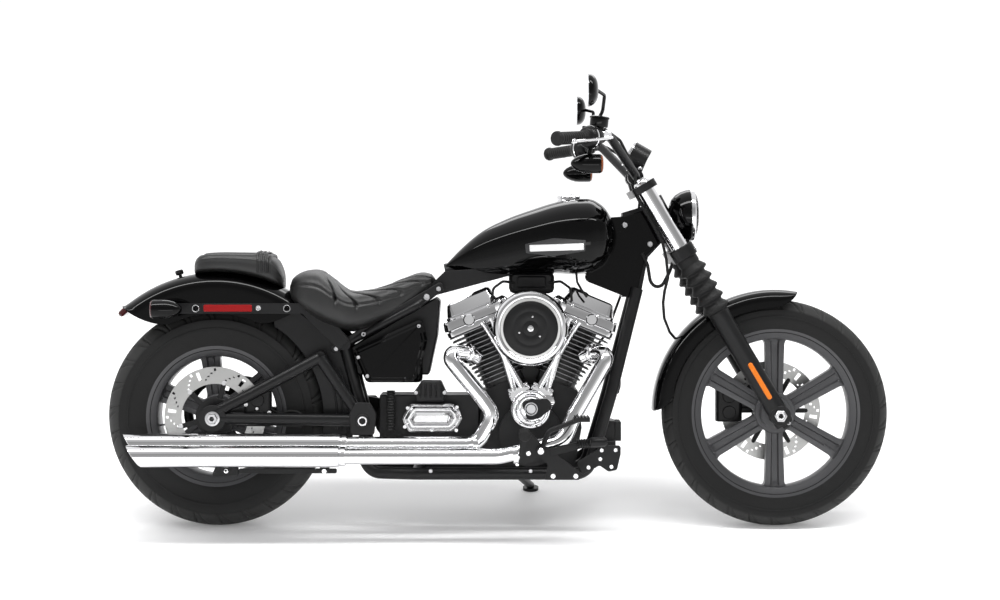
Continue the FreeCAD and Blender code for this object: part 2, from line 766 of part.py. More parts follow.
def rocker_cover(name, lean):
    """A rocker cover: a wide lower box and a narrower lid, both with round corners."""
    lower = plate(name + "_lower", s.rocker_half_length * 2, s.rocker_half_width * 2,
                  s.rocker_step - s.rocker_foot, s.rocker_corner, 0, 0,
                  (s.rocker_step + s.rocker_foot) / 2)
    lid = plate(name + "_lid", s.rocker_half_length * 1.7, s.rocker_half_width * 1.75,
                s.rocker_top - s.rocker_step, s.rocker_corner, 0, 0,
                (s.rocker_top + s.rocker_step) / 2)
    return on_bank(fuse(name, lower, lid), lean)


bank_leans = {"front": float(s.bank_angle), "rear": -float(s.bank_angle)}
for bank, lean in bank_leans.items():
    keep(bank + "_cylinder", fin_stack(bank + "_barrel", lean))
keep("rocker_covers", fuse("rocker_cover_pair", *[rocker_cover(bank + "_rocker", lean)
                                                  for bank, lean in bank_leans.items()]))


def pushrods(lean):
    """Two push rod tubes and the lifter block of one cylinder, on the right side."""
    side = 1 if lean > 0 else -1
    name = "front_rods" if side > 0 else "rear_rods"
    tubes = []
    for number, offset in enumerate((0, s.pushrod_radius * 3.2)):
        foot_x = -side * s.deck_half_width * 0.2 - side * offset * 0.7
        head_x = side * s.deck_half_width * 0.05 - side * offset
        tubes.append(tube("%s_tube_%d" % (name, number),
                          [(foot_x, s.pushrod_y, s.deck_height * 0.9), (head_x, s.pushrod_y, s.rocker_foot)],
                          s.pushrod_radius))
    root_y = -s.case_half_width - s.running_gap
    tip_y = s.pushrod_y - s.pushrod_radius * 2
    lifter = centred(name + "_lifter", s.deck_half_width * 0.9, root_y - tip_y, s.overrun * 0.7,
                     -side * s.deck_half_width * 0.34, (root_y + tip_y) / 2, s.deck_height * 0.9)
    return on_bank(fuse(name, lifter, *tubes), lean)


keep("pushrod_tubes", fuse("pushrod_set", pushrods(float(s.bank_angle)), pushrods(-float(s.bank_angle))))

TRIM_SIZES = {
    "cam_cover_radius": 59,
    "cam_cover_z": 352,
    "cam_cover_depth": 40,
    "cleaner_x": 96,
    "cleaner_z": 587,
    "cleaner_radius": 107,
    "cleaner_lip": 17,
    "cleaner_depth": 78,
    "cleaner_face_y": -244,
    "primary_front_radius": 86,
    "primary_rear_radius": 105,
    "primary_rear_x": -190,
    "primary_z": 285,
    "primary_depth": 62,
    "primary_neck_radius": 52,
    "gearbox_front_x": -51.5,
    "gearbox_rear_x": -340,
    "gearbox_top_z": 388,
    "gearbox_half_width": 72,
    "gearbox_cover_x": -187,
    "gearbox_cover_z": 323,
    "gearbox_cover_half_length": 88,
    "gearbox_cover_half_height": 41,
}
add_sizes(TRIM_SIZES)
cam_y = -s.case_half_width - s.overrun / 2
keep("cam_cover", fuse("cam_cover_solid",
                       cylinder("cam_cover_round", s.cam_cover_radius, s.cam_cover_depth, s.crank_x,
                                cam_y - s.cam_cover_depth, s.cam_cover_z, ALONG_Y),
                       block("cam_cover_lobe", s.cam_cover_radius, s.cam_cover_depth * 0.8,
                             s.cam_cover_radius * 0.7, s.crank_x, cam_y - s.cam_cover_depth * 0.8,
                             s.cam_cover_z - s.cam_cover_radius * 0.1)))
keep("air_cleaner", fuse(
    "air_cleaner_solid",
    ring("air_cleaner_lip", s.cleaner_radius, s.cleaner_radius - s.cleaner_lip, s.cleaner_lip,
         s.cleaner_x, s.cleaner_face_y, s.cleaner_z),
    cylinder("air_cleaner_drum", s.cleaner_radius * 0.96, s.cleaner_depth - s.cleaner_lip / 2, s.cleaner_x,
             s.cleaner_face_y + s.cleaner_lip / 2, s.cleaner_z, ALONG_Y),
    cylinder("air_cleaner_throat", s.cleaner_radius * 0.309,
             -s.cleaner_face_y - s.cleaner_depth - s.overrun, s.crank_x,
             s.cleaner_face_y + s.cleaner_depth - s.overrun / 4, s.cleaner_z, ALONG_Y)))
primary_y = s.frame_half_width + s.frame_tube_radius + s.running_gap * 2
bulge_y = s.case_half_width + s.overrun / 2
keep("primary_cover", fuse(
    "primary_solid",
    cylinder("primary_front", s.primary_front_radius, s.primary_depth, s.crank_x, primary_y,
             s.crank_z, ALONG_Y),
    cylinder("primary_rear", s.primary_rear_radius, s.primary_depth, s.primary_rear_x, primary_y,
             s.primary_z, ALONG_Y),
    block("primary_bridge", s.crank_x - s.primary_rear_x, s.primary_depth, s.primary_front_radius * 1.7,
          s.primary_rear_x, primary_y, s.crank_z - s.primary_front_radius * 0.7),
    cylinder("primary_front_neck", s.primary_front_radius * 0.84, primary_y - bulge_y, s.crank_x, bulge_y,
             s.crank_z, ALONG_Y),
    cylinder("primary_rear_neck", s.primary_neck_radius, primary_y - s.gearbox_half_width, s.primary_rear_x,
             s.gearbox_half_width, s.primary_z, ALONG_Y)))
keep("gearbox", fuse(
    "gearbox_solid",
    block("gearbox_block", s.gearbox_front_x - s.gearbox_rear_x, s.gearbox_half_width * 2,
          s.gearbox_top_z - s.case_bottom_z - s.overrun, s.gearbox_rear_x,
          -s.gearbox_half_width, s.case_bottom_z + s.overrun),
    cylinder("front_sprocket", s.front_sprocket_radius, s.belt_width, s.front_sprocket_x,
             s.sprocket_y - s.belt_width / 2, s.front_sprocket_z, ALONG_Y),
    cylinder("front_sprocket_shaft", s.front_sprocket_radius / 2, s.sprocket_y - s.gearbox_half_width,
             s.front_sprocket_x, s.gearbox_half_width, s.front_sprocket_z, ALONG_Y)))
gearbox_y = -s.gearbox_half_width - s.overrun * 0.9
chamfer = s.gearbox_cover_half_height * 0.45
cover_rear_x = s.gearbox_cover_x - s.gearbox_cover_half_length
cover_front_x = s.gearbox_cover_x + s.gearbox_cover_half_length
cover_low_z = s.gearbox_cover_z - s.gearbox_cover_half_height
cover_high_z = s.gearbox_cover_z + s.gearbox_cover_half_height
keep("gearbox_cover", slab("gearbox_octagon", [
    (cover_rear_x, s.gearbox_cover_z - chamfer),
    (cover_rear_x + chamfer, cover_low_z),
    (cover_front_x - chamfer, cover_low_z),
    (cover_front_x, s.gearbox_cover_z - chamfer),
    (cover_front_x, s.gearbox_cover_z + chamfer),
    (cover_front_x - chamfer, cover_high_z),
    (cover_rear_x + chamfer, cover_high_z),
    (cover_rear_x, s.gearbox_cover_z + chamfer),
], s.overrun * 1.8, gearbox_y))

# Exhaust: two header pipes on the right and two stacked silencers
EXHAUST_SIZES = {
    "header_radius": 22.5,
    "silencer_radius": 31,
    "upper_silencer_y": -162,
    "upper_silencer_z": 253,
    "lower_silencer_y": -218,
    "lower_silencer_z": 224,
    "silencer_front_x": -443,
    "upper_silencer_end_x": -1068,
    "lower_silencer_end_x": -1050,
    "slash_angle": 35,
    "port_height": 300,
    "port_across": 62,
    "port_length": 26,
    "front_header_bend": 45,
    "front_header_high_x": 325,
    "front_header_high_y": -165,
    "front_header_high_z": 516,
    "front_header_low_x": 222,
    "front_header_low_z": 342,
    "front_header_foot_x": 190,
    "front_header_foot_z": 265,
    "rear_header_bend": 32,
    "rear_header_high_x": -152,
    "rear_header_high_z": 520,
    "rear_header_low_x": -47,
    "rear_header_low_z": 392,
    "rear_header_knee_x": -8,
    "rear_header_knee_z": 336,
    "rear_header_foot_x": -56,
}
add_sizes(EXHAUST_SIZES)


def silencer(name, x_end, y, z):
    """One straight silencer with a slash-cut, hollow end."""
    body = cylinder(name + "_can", s.silencer_radius, s.silencer_front_x - x_end, x_end, y, z, ALONG_X)
    hollow = cylinder(name + "_hollow", s.silencer_radius * 0.86, s.silencer_radius * 4,
                      x_end - s.overrun, y, z, ALONG_X)
    wedge = block(name + "_slash", s.silencer_radius * 4, s.silencer_radius * 4, s.silencer_radius * 4,
                  0, 0, 0)
    turn = Rotation(Vector(0, 1, 0), float(s.slash_angle))
    corner = Vector(x_end, float(y) - float(s.silencer_radius) * 2, z + s.silencer_radius)
    wedge.Placement = Placement(corner + turn.multVec(Vector(-float(s.silencer_radius) * 4, 0,
                                                             -float(s.silencer_radius) * 3)), turn)
    return cut(name, body, hollow, wedge)


upper_can = silencer("upper_can", s.upper_silencer_end_x, s.upper_silencer_y, s.upper_silencer_z)
lower_can = silencer("lower_can", s.lower_silencer_end_x, s.lower_silencer_y, s.lower_silencer_z)
port_out = s.port_height * sine(s.bank_angle) + s.port_across * cosine(s.bank_angle)
port_z = s.crank_z + s.port_height * cosine(s.bank_angle) - s.port_across * sine(s.bank_angle)
port_y = -s.fin_side_half - s.running_gap


def port(name, x):
    """The stub that joins one header to the side of its cylinder head."""
    return cylinder(name, s.header_radius * 1.25, s.port_length, x, port_y - s.port_length, port_z, ALONG_Y)


front_header = tube("front_header_pipe", [
    (s.crank_x + port_out, port_y - s.port_length * 0.7, port_z),
    (s.front_header_high_x, s.front_header_high_y, s.front_header_high_z),
    (s.front_header_low_x, (s.front_header_high_y + s.lower_silencer_y) / 2, s.front_header_low_z),
    (s.front_header_foot_x, s.lower_silencer_y + s.header_radius * 0.5, s.front_header_foot_z),
    (s.crank_x - s.case_round, s.lower_silencer_y, s.lower_silencer_z),
    (s.silencer_front_x, s.lower_silencer_y, s.lower_silencer_z)], s.header_radius, s.front_header_bend)
front_port = port("front_port", s.crank_x + port_out)
keep("front_exhaust", fuse("front_exhaust_set", front_port, front_header, lower_can))
rear_header = tube("rear_header_pipe", [
    (s.crank_x - port_out, port_y - s.port_length * 0.85, port_z),
    (s.rear_header_high_x, s.upper_silencer_y * 0.96, s.rear_header_high_z),
    (s.rear_header_low_x, s.upper_silencer_y, s.rear_header_low_z),
    (s.rear_header_knee_x, s.upper_silencer_y, s.rear_header_knee_z),
    (s.rear_header_foot_x, s.upper_silencer_y, s.upper_silencer_z),
    (s.silencer_front_x, s.upper_silencer_y, s.upper_silencer_z)], s.header_radius, s.rear_header_bend)
rear_port = port("rear_port", s.crank_x - port_out)
keep("rear_exhaust", fuse("rear_exhaust_set", rear_port, rear_header, upper_can))

# Tank, seat, pillion pad and mudguards
BODY_SIZES = {
    "tank_rear_x": -147,
    "tank_front_x": 351,
    "tank_low_z": 730,
    "tank_high_z": 959,
    "tank_half_width": 152,
    "tunnel_half_width": 46,
    "cap_radius": 35,
    "cap_x": 212,
    "cap_height": 22,
    "seat_rear_x": -607,
    "seat_front_x": -178,
    "seat_high_z": 753,
    "seat_low_z": 568,
    "seat_half_width": 158,
    "pad_rear_x": -883,
    "pad_front_x": -622,
    "pad_top_z": 803,
    "pad_half_width": 98,
}
add_sizes(BODY_SIZES)
# Each row is how far along the tank, then its top, its bottom and its half width as shares
TANK_SHARES = (
    (0.00, 0.17, 0.12, 0.14), (0.08, 0.35, 0.05, 0.30), (0.20, 0.57, 0.00, 0.48), (0.35, 0.74, 0.00, 0.68),
    (0.50, 0.86, 0.03, 0.85), (0.65, 0.96, 0.04, 0.97), (0.78, 1.00, 0.03, 1.00), (0.88, 0.97, 0.08, 0.93),
    (0.95, 0.83, 0.20, 0.76), (0.985, 0.68, 0.34, 0.50), (1.00, 0.58, 0.45, 0.22))
SEAT_SHARES = (
    (0.00, 0.80, 0.55, 0.45), (0.06, 0.92, 0.40, 0.70), (0.14, 0.99, 0.26, 0.88), (0.22, 0.98, 0.15, 0.97),
    (0.30, 0.85, 0.08, 1.00), (0.40, 0.68, 0.02, 0.97), (0.52, 0.67, 0.03, 0.84), (0.65, 0.74, 0.14, 0.68),
    (0.78, 0.86, 0.26, 0.56), (0.92, 0.95, 0.50, 0.46), (1.00, 0.90, 0.72, 0.34))


def shaped(name, shares, rear_x, front_x_end, low_z, high_z, half_width, squareness):
    """A loft whose sections follow a table of shares of its overall sizes."""
    stations = []
    for along, top, bottom, wide in shares:
        top_z = low_z + (high_z - low_z) * top
        bottom_z = low_z + (high_z - low_z) * bottom
        stations.append((float(rear_x + (front_x_end - rear_x) * along), float(top_z + bottom_z) / 2,
                         float(top_z - bottom_z) / 2, float(half_width * wide), squareness))
    return loft(name, stations)


tank_form = shaped("tank_form", TANK_SHARES, s.tank_rear_x, s.tank_front_x, s.tank_low_z, s.tank_high_z,
                   s.tank_half_width, 2.5)
slope = (s.backbone_front_z - s.backbone_rear_z) / (s.backbone_front_x - backbone_rear_x)
tunnel_top = s.backbone_radius * 1.03 + s.running_gap
tunnel = slab("tank_tunnel", [
    (s.tank_rear_x - s.overrun, s.tank_low_z - s.overrun),
    (s.tank_front_x + s.overrun, s.tank_low_z - s.overrun),
    (s.tank_front_x + s.overrun, s.backbone_rear_z + tunnel_top
     + slope * (s.tank_front_x + s.overrun - backbone_rear_x)),
    (s.tank_rear_x - s.overrun, s.backbone_rear_z + tunnel_top
     + slope * (s.tank_rear_x - s.overrun - backbone_rear_x)),
], s.tunnel_half_width * 2, 0)
cap_z = s.tank_high_z - s.cap_height * 0.3
keep("fuel_tank", cut("tank_shell", tank_form, tunnel,
                      cylinder("cap_recess", s.cap_radius + s.running_gap, s.cap_height, s.cap_x, 0,
                               cap_z - s.running_gap)))
keep("filler_cap", cylinder("filler_cap_round", s.cap_radius, s.cap_height, s.cap_x, 0, cap_z))
seat_form = shaped("seat_form", SEAT_SHARES, s.seat_rear_x, s.seat_front_x, s.seat_low_z, s.seat_high_z,
                   s.seat_half_width, 3.0)

GUARD_SIZES = {
    "front_guard_radius": 361,
    "front_guard_depth": 52,
    "front_guard_half_width": 66,
    "front_guard_shoulder": 34,
    "front_guard_start": 80,
    "front_guard_end": 178,
    "rear_guard_radius": 420,
    "rear_guard_depth": 120,
    "rear_guard_half_width": 98,
    "rear_guard_shoulder": 46,
    "rear_guard_start": 52,
    "rear_guard_end": 129,
    "guard_thickness": 3,
}
add_sizes(GUARD_SIZES)
front_guard = arch_guard("front_guard", s.front_guard_radius, s.front_guard_depth,
                         s.front_guard_half_width, s.front_guard_shoulder, s.guard_thickness,
                         s.front_guard_start, s.front_guard_end, front_x, front_z)
keep("rear_mudguard", arch_guard("rear_guard", s.rear_guard_radius, s.rear_guard_depth,
                                 s.rear_guard_half_width, s.rear_guard_shoulder, s.guard_thickness,
                                 s.rear_guard_start, s.rear_guard_end, rear_x, rear_z))

PILLION_SHARES = ((0.0, 0.6, 0.0, 0.7), (0.04, 0.9, 0.0, 0.9), (0.15, 1.0, 0.0, 1.0),
                  (0.85, 1.0, 0.0, 1.0), (0.96, 0.88, 0.0, 0.9), (1.0, 0.55, 0.0, 0.7))
keep("pillion_pad", cut(
    "pillion_pad_seated",
    shaped("pillion_form", PILLION_SHARES, s.pad_rear_x, s.pad_front_x,
           rear_z + s.rear_guard_radius * 0.88, s.pad_top_z, s.pad_half_width, 4.0),
    across("pillion_pad_hollow", s.rear_guard_radius + s.running_gap, s.pad_half_width * 3,
           rear_x, 0, rear_z)))

# Mudguard struts, lamps and signals at the tail
TAIL_SIZES = {
    "strut_rear_x": -868,
    "strut_front_x": -560,
    "strut_z": 640,
    "strut_half_height": 15,
    "strut_thickness": 14,
    "tail_lamp_radius": 20,
    "tail_lamp_angle": 131.8,
    "signal_radius": 27,
    "signal_length": 90,
    "rear_signal_x": -984,
    "rear_signal_y": 200,
    "rear_signal_z": 640,
    "stalk_radius": 8,
}
add_sizes(TAIL_SIZES)
strut_y = s.rear_guard_half_width + s.strut_thickness / 2 + s.running_gap
strut_side = strut_y + s.strut_thickness / 2
strut_corners = [
    (s.strut_rear_x - s.strut_half_height * 7.5, s.strut_z - s.strut_half_height),
    (s.strut_front_x, s.strut_z - s.strut_half_height),
    (s.rear_upright_top_x - s.strut_half_height, s.rear_upright_top_z - s.strut_half_height),
    (s.rear_upright_top_x + s.strut_half_height, s.rear_upright_top_z + s.strut_half_height),
    (s.strut_front_x + s.strut_half_height * 3, s.strut_z + s.strut_half_height),
    (s.strut_rear_x - s.strut_half_height * 7.5, s.strut_z + s.strut_half_height),
]
struts = []
for hand, side in (("right", -1), ("left", 1)):
    bar = slab("strut_bar_" + hand, strut_corners, s.strut_thickness, strut_y * side)
    holes = [across("strut_hole_%s_%d" % (hand, number), s.stalk_radius, s.overrun * 2,
                    x, strut_y * side, s.strut_z)
             for number, x in enumerate((s.strut_rear_x, s.strut_front_x - s.strut_half_height * 3))]
    struts.append(cut("strut_drilled_" + hand, bar, *holes))
keep("mudguard_struts", fuse("mudguard_strut_pair", *struts))
tray_rise = s.seat_rail_radius * 1.3
seat_tray = slab("seat_tray", [
    (s.seat_rear_x - s.overrun, s.seat_low_z - s.overrun),
    (s.seat_rail_front_x, s.seat_low_z - s.overrun),
    (s.seat_rail_front_x, s.seat_rail_front_z + tray_rise),
    (s.seat_rail_front_x - s.frame_half_width * 0.9, s.seat_rail_front_z - s.cradle_bend + tray_rise),
    (s.rear_upright_top_x + s.strut_half_height, s.rear_upright_top_z + s.frame_tube_radius * 1.3),
    (s.strut_front_x + s.strut_half_height * 3, s.strut_z + s.strut_half_height + s.running_gap),
    (s.seat_rear_x - s.overrun, s.strut_z + s.strut_half_height + s.running_gap),
], (strut_side + s.running_gap) * 2, 0)
keep("seat", cut("seat_on_frame", seat_form, seat_tray,
                 across("seat_guard_space", s.rear_guard_radius + s.running_gap,
                        (strut_side + s.running_gap) * 2, rear_x, 0, rear_z)))


def signal(name, x, y, z, forward, root_y):
    """One bullet turn signal on a stalk, its lens to the front or to the rear."""
    turn = ALONG_X if forward else Rotation(Vector(0, 1, 0), -90)
    drum = cylinder(name + "_drum", s.signal_radius, s.signal_length * 0.5, x, y, z,
                    turn)
    way = 1 if forward else -1
    nose = cone(name + "_nose", s.signal_radius, s.signal_radius * 0.25, s.signal_length * 0.5, x, y, z,
                Rotation(Vector(0, 1, 0), -90 * way))
    side = 1 if float(y) > 0 else -1
    stalk = cylinder(name + "_stalk", s.stalk_radius, abs_size(y) - root_y, x,
                     root_y if side > 0 else y, z, ALONG_Y)
    return fuse(name, drum, nose, stalk)


keep("rear_signals", fuse("rear_signal_pair", *[
    signal("rear_bullet_" + hand, s.rear_signal_x + s.signal_length / 2, s.rear_signal_y * side,
           s.rear_signal_z, False, strut_side + s.running_gap)
    for hand, side in (("right", -1), ("left", 1))]))
lamp_out = s.rear_guard_radius - s.tail_lamp_radius
tail_lamp = block("tail_lamp_box", s.tail_lamp_radius, s.tail_lamp_radius * 4,
                  s.tail_lamp_radius * 2, 0, 0, 0)
lamp_turn = Rotation(Vector(0, 1, 0), -float(s.tail_lamp_angle))
tail_lamp.Placement = Placement(Vector(rear_x, 0, rear_z) + lamp_turn.multVec(
    Vector(lamp_out, -float(s.tail_lamp_radius) * 2, -float(s.tail_lamp_radius))), lamp_turn)
keep("tail_lamp", tail_lamp)

# Side covers under the seat and the oil tank between them
COVER_SIZES = {
    "oil_tank_rear_x": -330,
    "oil_tank_front_x": -215,
    "side_cover_rear_x": -400,
    "oil_tank_low_z": 424,
    "oil_tank_high_z": 560,
    "oil_tank_half_width": 76,
    "side_cover_thickness": 50,
}
add_sizes(COVER_SIZES)
oil_tank = block("oil_tank_block", s.oil_tank_front_x - s.oil_tank_rear_x, s.oil_tank_half_width * 2,
                 s.oil_tank_high_z - s.oil_tank_low_z, s.oil_tank_rear_x, -s.oil_tank_half_width,
                 s.oil_tank_low_z)
cover_corners = [
    (s.side_cover_rear_x, s.oil_tank_low_z), (s.oil_tank_front_x - s.overrun * 0.6, s.oil_tank_low_z),
    (s.oil_tank_front_x + s.overrun * 0.5, s.oil_tank_low_z + s.overrun * 2.4),
    (s.oil_tank_front_x, s.oil_tank_high_z + s.overrun),
    (s.side_cover_rear_x - s.overrun * 0.3, s.oil_tank_low_z + s.overrun * 2)]
side_covers = [slab("side_cover_slab_" + hand, cover_corners, s.side_cover_thickness,
                    (s.oil_tank_half_width + s.side_cover_thickness / 2) * side)
               for hand, side in (("right", -1), ("left", 1))]
keep("oil_tank", fuse("oil_tank_set", oil_tank, *side_covers))

# Foot pegs, brake pedal and gear lever
FOOT_SIZES = {
    "peg_x": 79,
    "peg_z": 292,
    "peg_radius": 14,
    "peg_outer_y": 330,
    "control_plate_y": 248,
    "control_plate_thickness": 6,
    "control_plate_low_z": 161,
    "control_plate_front_x": 243,
    "stand_off_radius": 9,
    "stand_off_z": 172,
    "pedal_pivot_x": 124,
    "pedal_pivot_z": 244,
    "pedal_x": 238,
    "pedal_y": 264,
    "pedal_z": 334,
    "pedal_rod_radius": 7,
    "pedal_pad_length": 46,
    "pedal_pad_width": 60,
    "pedal_pad_thickness": 12,
}
add_sizes(FOOT_SIZES)
plate_side = s.control_plate_y + s.control_plate_thickness / 2
plate_corners = [
    (s.peg_x - s.peg_radius, s.pedal_pivot_z - s.overrun * 0.9),
    (s.peg_x + s.peg_radius * 1.3, s.pedal_pivot_z - s.overrun * 0.9),
    (s.pedal_pivot_x, s.pedal_pivot_z - s.overrun * 0.45),
    (s.pedal_pivot_x + s.overrun * 0.5, s.pedal_pivot_z - s.overrun),
    (s.pedal_pivot_x + s.overrun * 0.3, s.control_plate_low_z),
    (s.control_plate_front_x - s.overrun * 0.3, s.control_plate_low_z),
    (s.control_plate_front_x, s.control_plate_low_z + s.overrun * 0.4),
    (s.pedal_pivot_x + s.overrun * 0.75, s.pedal_pivot_z),
    (s.pedal_pivot_x, s.pedal_pivot_z + s.overrun * 0.5),
    (s.peg_x + s.peg_radius, s.peg_z + s.peg_radius * 0.5),
    (s.peg_x - s.peg_radius, s.peg_z + s.peg_radius * 0.5),
]
pegs = []
for hand, side in (("right", -1), ("left", 1)):
    pegs.append(across("peg_rubber_" + hand, s.peg_radius, s.peg_outer_y - s.control_plate_y, s.peg_x,
                       (s.peg_outer_y + s.control_plate_y) / 2 * side, s.peg_z))
    pegs.append(slab("control_plate_" + hand, plate_corners, s.control_plate_thickness,
                     s.control_plate_y * side))
    rail_side = s.frame_half_width + s.frame_tube_radius + s.running_gap
    for number, inset in enumerate((0.5, 2.1)):
        pegs.append(across("stand_off_%s_%d" % (hand, number), s.stand_off_radius,
                           s.control_plate_y - rail_side, s.control_plate_front_x - s.overrun * inset,
                           (s.control_plate_y + rail_side) / 2 * side, s.stand_off_z))
keep("foot_pegs", fuse("foot_peg_pair", *pegs))


def pedal_arm(name, side):
    """A foot lever on its pivot boss, outside the control plate on one side."""
    rod = tube(name + "_rod", [
        (s.pedal_pivot_x, s.pedal_y * side, s.pedal_pivot_z),
        (s.pedal_pivot_x + s.overrun * 0.6, s.pedal_y * side, s.pedal_pivot_z + s.overrun * 1.4),
        (s.pedal_x, s.pedal_y * side, s.pedal_z)], s.pedal_rod_radius, s.overrun / 2)
    root_y = plate_side + s.running_gap
    tip_y = s.pedal_y + s.pedal_rod_radius * 1.5
    boss = across(name + "_boss", s.pedal_rod_radius * 1.6, tip_y - root_y,
                  s.pedal_pivot_x, (tip_y + root_y) / 2 * side, s.pedal_pivot_z)
    return [rod, boss]


keep("brake_pedal", fuse("brake_pedal_set", *pedal_arm("brake_pedal", -1),
                         centred("brake_pedal_pad", s.pedal_pad_length, s.pedal_pad_width,
                                 s.pedal_pad_thickness, s.pedal_x, -s.pedal_y - s.overrun / 4, s.pedal_z)))
keep("gear_lever", fuse("gear_lever_set", *pedal_arm("gear_lever", 1),
                        across("gear_lever_toe", s.peg_radius * 0.8, s.pedal_pad_width, s.pedal_x,
                               s.pedal_y + s.overrun / 2, s.pedal_z)))

# Fork: clamps, tubes, boots, sliders, axle and the front guard's stays
FORK_SIZES = {
    "leg_half_spacing": 115,
    "fork_tube_radius": 24.5,
    "slider_radius": 29.5,
    "boot_radius": 41,
    "boot_rings": 5,
    "slider_length": 346,
    "boot_top": 505,
    "lower_clamp_at": 563,
    "upper_clamp_at": 752,
    "clamp_height": 36,
    "upper_clamp_height": 22,
    "tube_top": 772,
    "stem_radius": 16.5,
    "front_axle_half": 150,
    "lug_radius": 27,
    "caliper_length": 78,
    "caliper_height": 104,
    "caliper_half_width": 22,
    "front_caliper_x": 689.1,
    "front_caliper_z": 352,
    "rear_caliper_x": -690,
    "rear_caliper_z": 352,
}
add_sizes(FORK_SIZES)
fork_turn = Rotation(Vector(0, 1, 0), -float(s.fork_angle))


def leg_x(along):
    """The X of the fork legs at a distance up from the axle."""
    return front_x - along * sine(s.fork_angle)


def leg_z(along):
    """The height of the fork legs at a distance up from the axle."""
    return front_z + along * cosine(s.fork_angle)


def leg_piece(name, radius, low, high, y):
    """A round piece of one fork leg between two distances up from the axle."""
    return cylinder(name, radius, high - low, leg_x(low), y, leg_z(low), fork_turn)


def boot(name, y):
    """One rubber boot with its rings."""
    pitch = (s.boot_top - s.slider_length) / s.boot_rings
    rings = []
    for number in range(int(s.boot_rings)):
        low = s.slider_length + pitch * number
        rings.append(cone("%s_low_%d" % (name, number), s.slider_radius, s.boot_radius, pitch / 2,
                          leg_x(low), y, leg_z(low), fork_turn))
        middle = low + pitch / 2
        rings.append(cone("%s_high_%d" % (name, number), s.boot_radius, s.slider_radius, pitch / 2,
                          leg_x(middle), y, leg_z(middle), fork_turn))
    return cut(name, fuse(name + "_rings", *rings),
               leg_piece(name + "_bore", s.fork_tube_radius, s.slider_length - s.overrun,
                         s.boot_top + s.overrun, y))


axle_bore = across("front_axle_hole", s.axle_radius, s.front_axle_half * 2 + s.overrun, front_x, 0, front_z)
sliders, boots, tubes = [], [], []
for hand, side in (("right", -1), ("left", 1)):
    y = s.leg_half_spacing * side
    slider = fuse("slider_solid_" + hand, leg_piece("slider_" + hand, s.slider_radius, 0, s.slider_length, y),
                  across("slider_lug_" + hand, s.lug_radius + s.running_gap * 5, s.slider_radius * 2,
                         front_x, y, front_z))
    sliders.append(cut("slider_bored_" + hand, slider,
                       across("slider_axle_hole_" + hand, s.axle_radius, s.overrun * 3, front_x, y, front_z)))
    boots.append(boot("boot_" + hand, y))
    tubes.append(leg_piece("fork_tube_bar_" + hand, s.fork_tube_radius, s.slider_length, s.tube_top, y))
bracket_x = s.front_caliper_x + s.caliper_length / 2 - s.running_gap
caliper_bracket = block("caliper_bracket", front_x - s.slider_radius * 0.5 - bracket_x, s.slider_radius * 0.6,
                        s.caliper_height * 0.5, bracket_x, s.leg_half_spacing - s.slider_radius * 0.95,
                        s.front_caliper_z - s.caliper_height * 0.2)
keep("fork_sliders", fuse("fork_slider_pair", caliper_bracket, *sliders))
ear_along = s.front_guard_radius - s.front_guard_depth * 0.8
ear_root = s.front_guard_half_width - s.guard_thickness / 2
ear_length = s.leg_half_spacing - s.slider_radius - s.running_gap - ear_root
keep("front_mudguard", fuse("front_guard_with_ears", front_guard, *[
    across("guard_ear_%d" % side, s.lug_radius * 0.35, ear_length, leg_x(ear_along),
           (ear_root + ear_length / 2) * side, leg_z(ear_along)) for side in (-1, 1)]))
keep("fork_boots", fuse("fork_boot_pair", *boots))
keep("fork_tubes", fuse("fork_tube_pair", *tubes))
keep("front_axle", ring("front_axle_tube", s.axle_radius, s.axle_bore_radius, s.front_axle_half * 2,
                        front_x, -s.front_axle_half, front_z))


def clamp(name, along, height):
    """One fork clamp, split round both legs and carrying the stem."""
    bar = rounded(name + "_bar", block(name + "_blank", s.fork_tube_radius * 3,
                                       s.leg_half_spacing * 2 + s.fork_tube_radius * 3, height, 0, 0, 0),
                  s.fork_tube_radius, BOX_UPRIGHT_EDGES)
    corner = fork_turn.multVec(Vector(-float(s.fork_tube_radius) * 1.5,
                                      -float(s.leg_half_spacing + s.fork_tube_radius * 1.5), 0))
    bar.Placement = Placement(Vector(leg_x(along), 0, leg_z(along)) + corner, fork_turn)
    holes = [leg_piece("%s_hole_%d" % (name, side), s.fork_tube_radius, along - s.overrun,
                       along + height + s.overrun, s.leg_half_spacing * side) for side in (-1, 1)]
    return cut(name, bar, *holes)


stem_low_z = leg_z(s.lower_clamp_at) + s.running_gap
stem_high_z = leg_z(s.upper_clamp_at)
stem_high_z = stem_high_z + (steer_x(stem_high_z) - leg_x(s.upper_clamp_at)) * tangent(s.fork_angle) * 0.55
stem = cylinder("steering_stem", s.stem_radius, (stem_high_z - stem_low_z) / cosine(s.rake_angle),
                steer_x(stem_low_z), 0, stem_low_z, head_turn)
keep("lower_clamp", fuse("lower_clamp_set",
                         clamp("lower_yoke", s.lower_clamp_at - s.clamp_height, s.clamp_height), stem))
upper_clamp = clamp("upper_yoke", s.upper_clamp_at, s.upper_clamp_height)

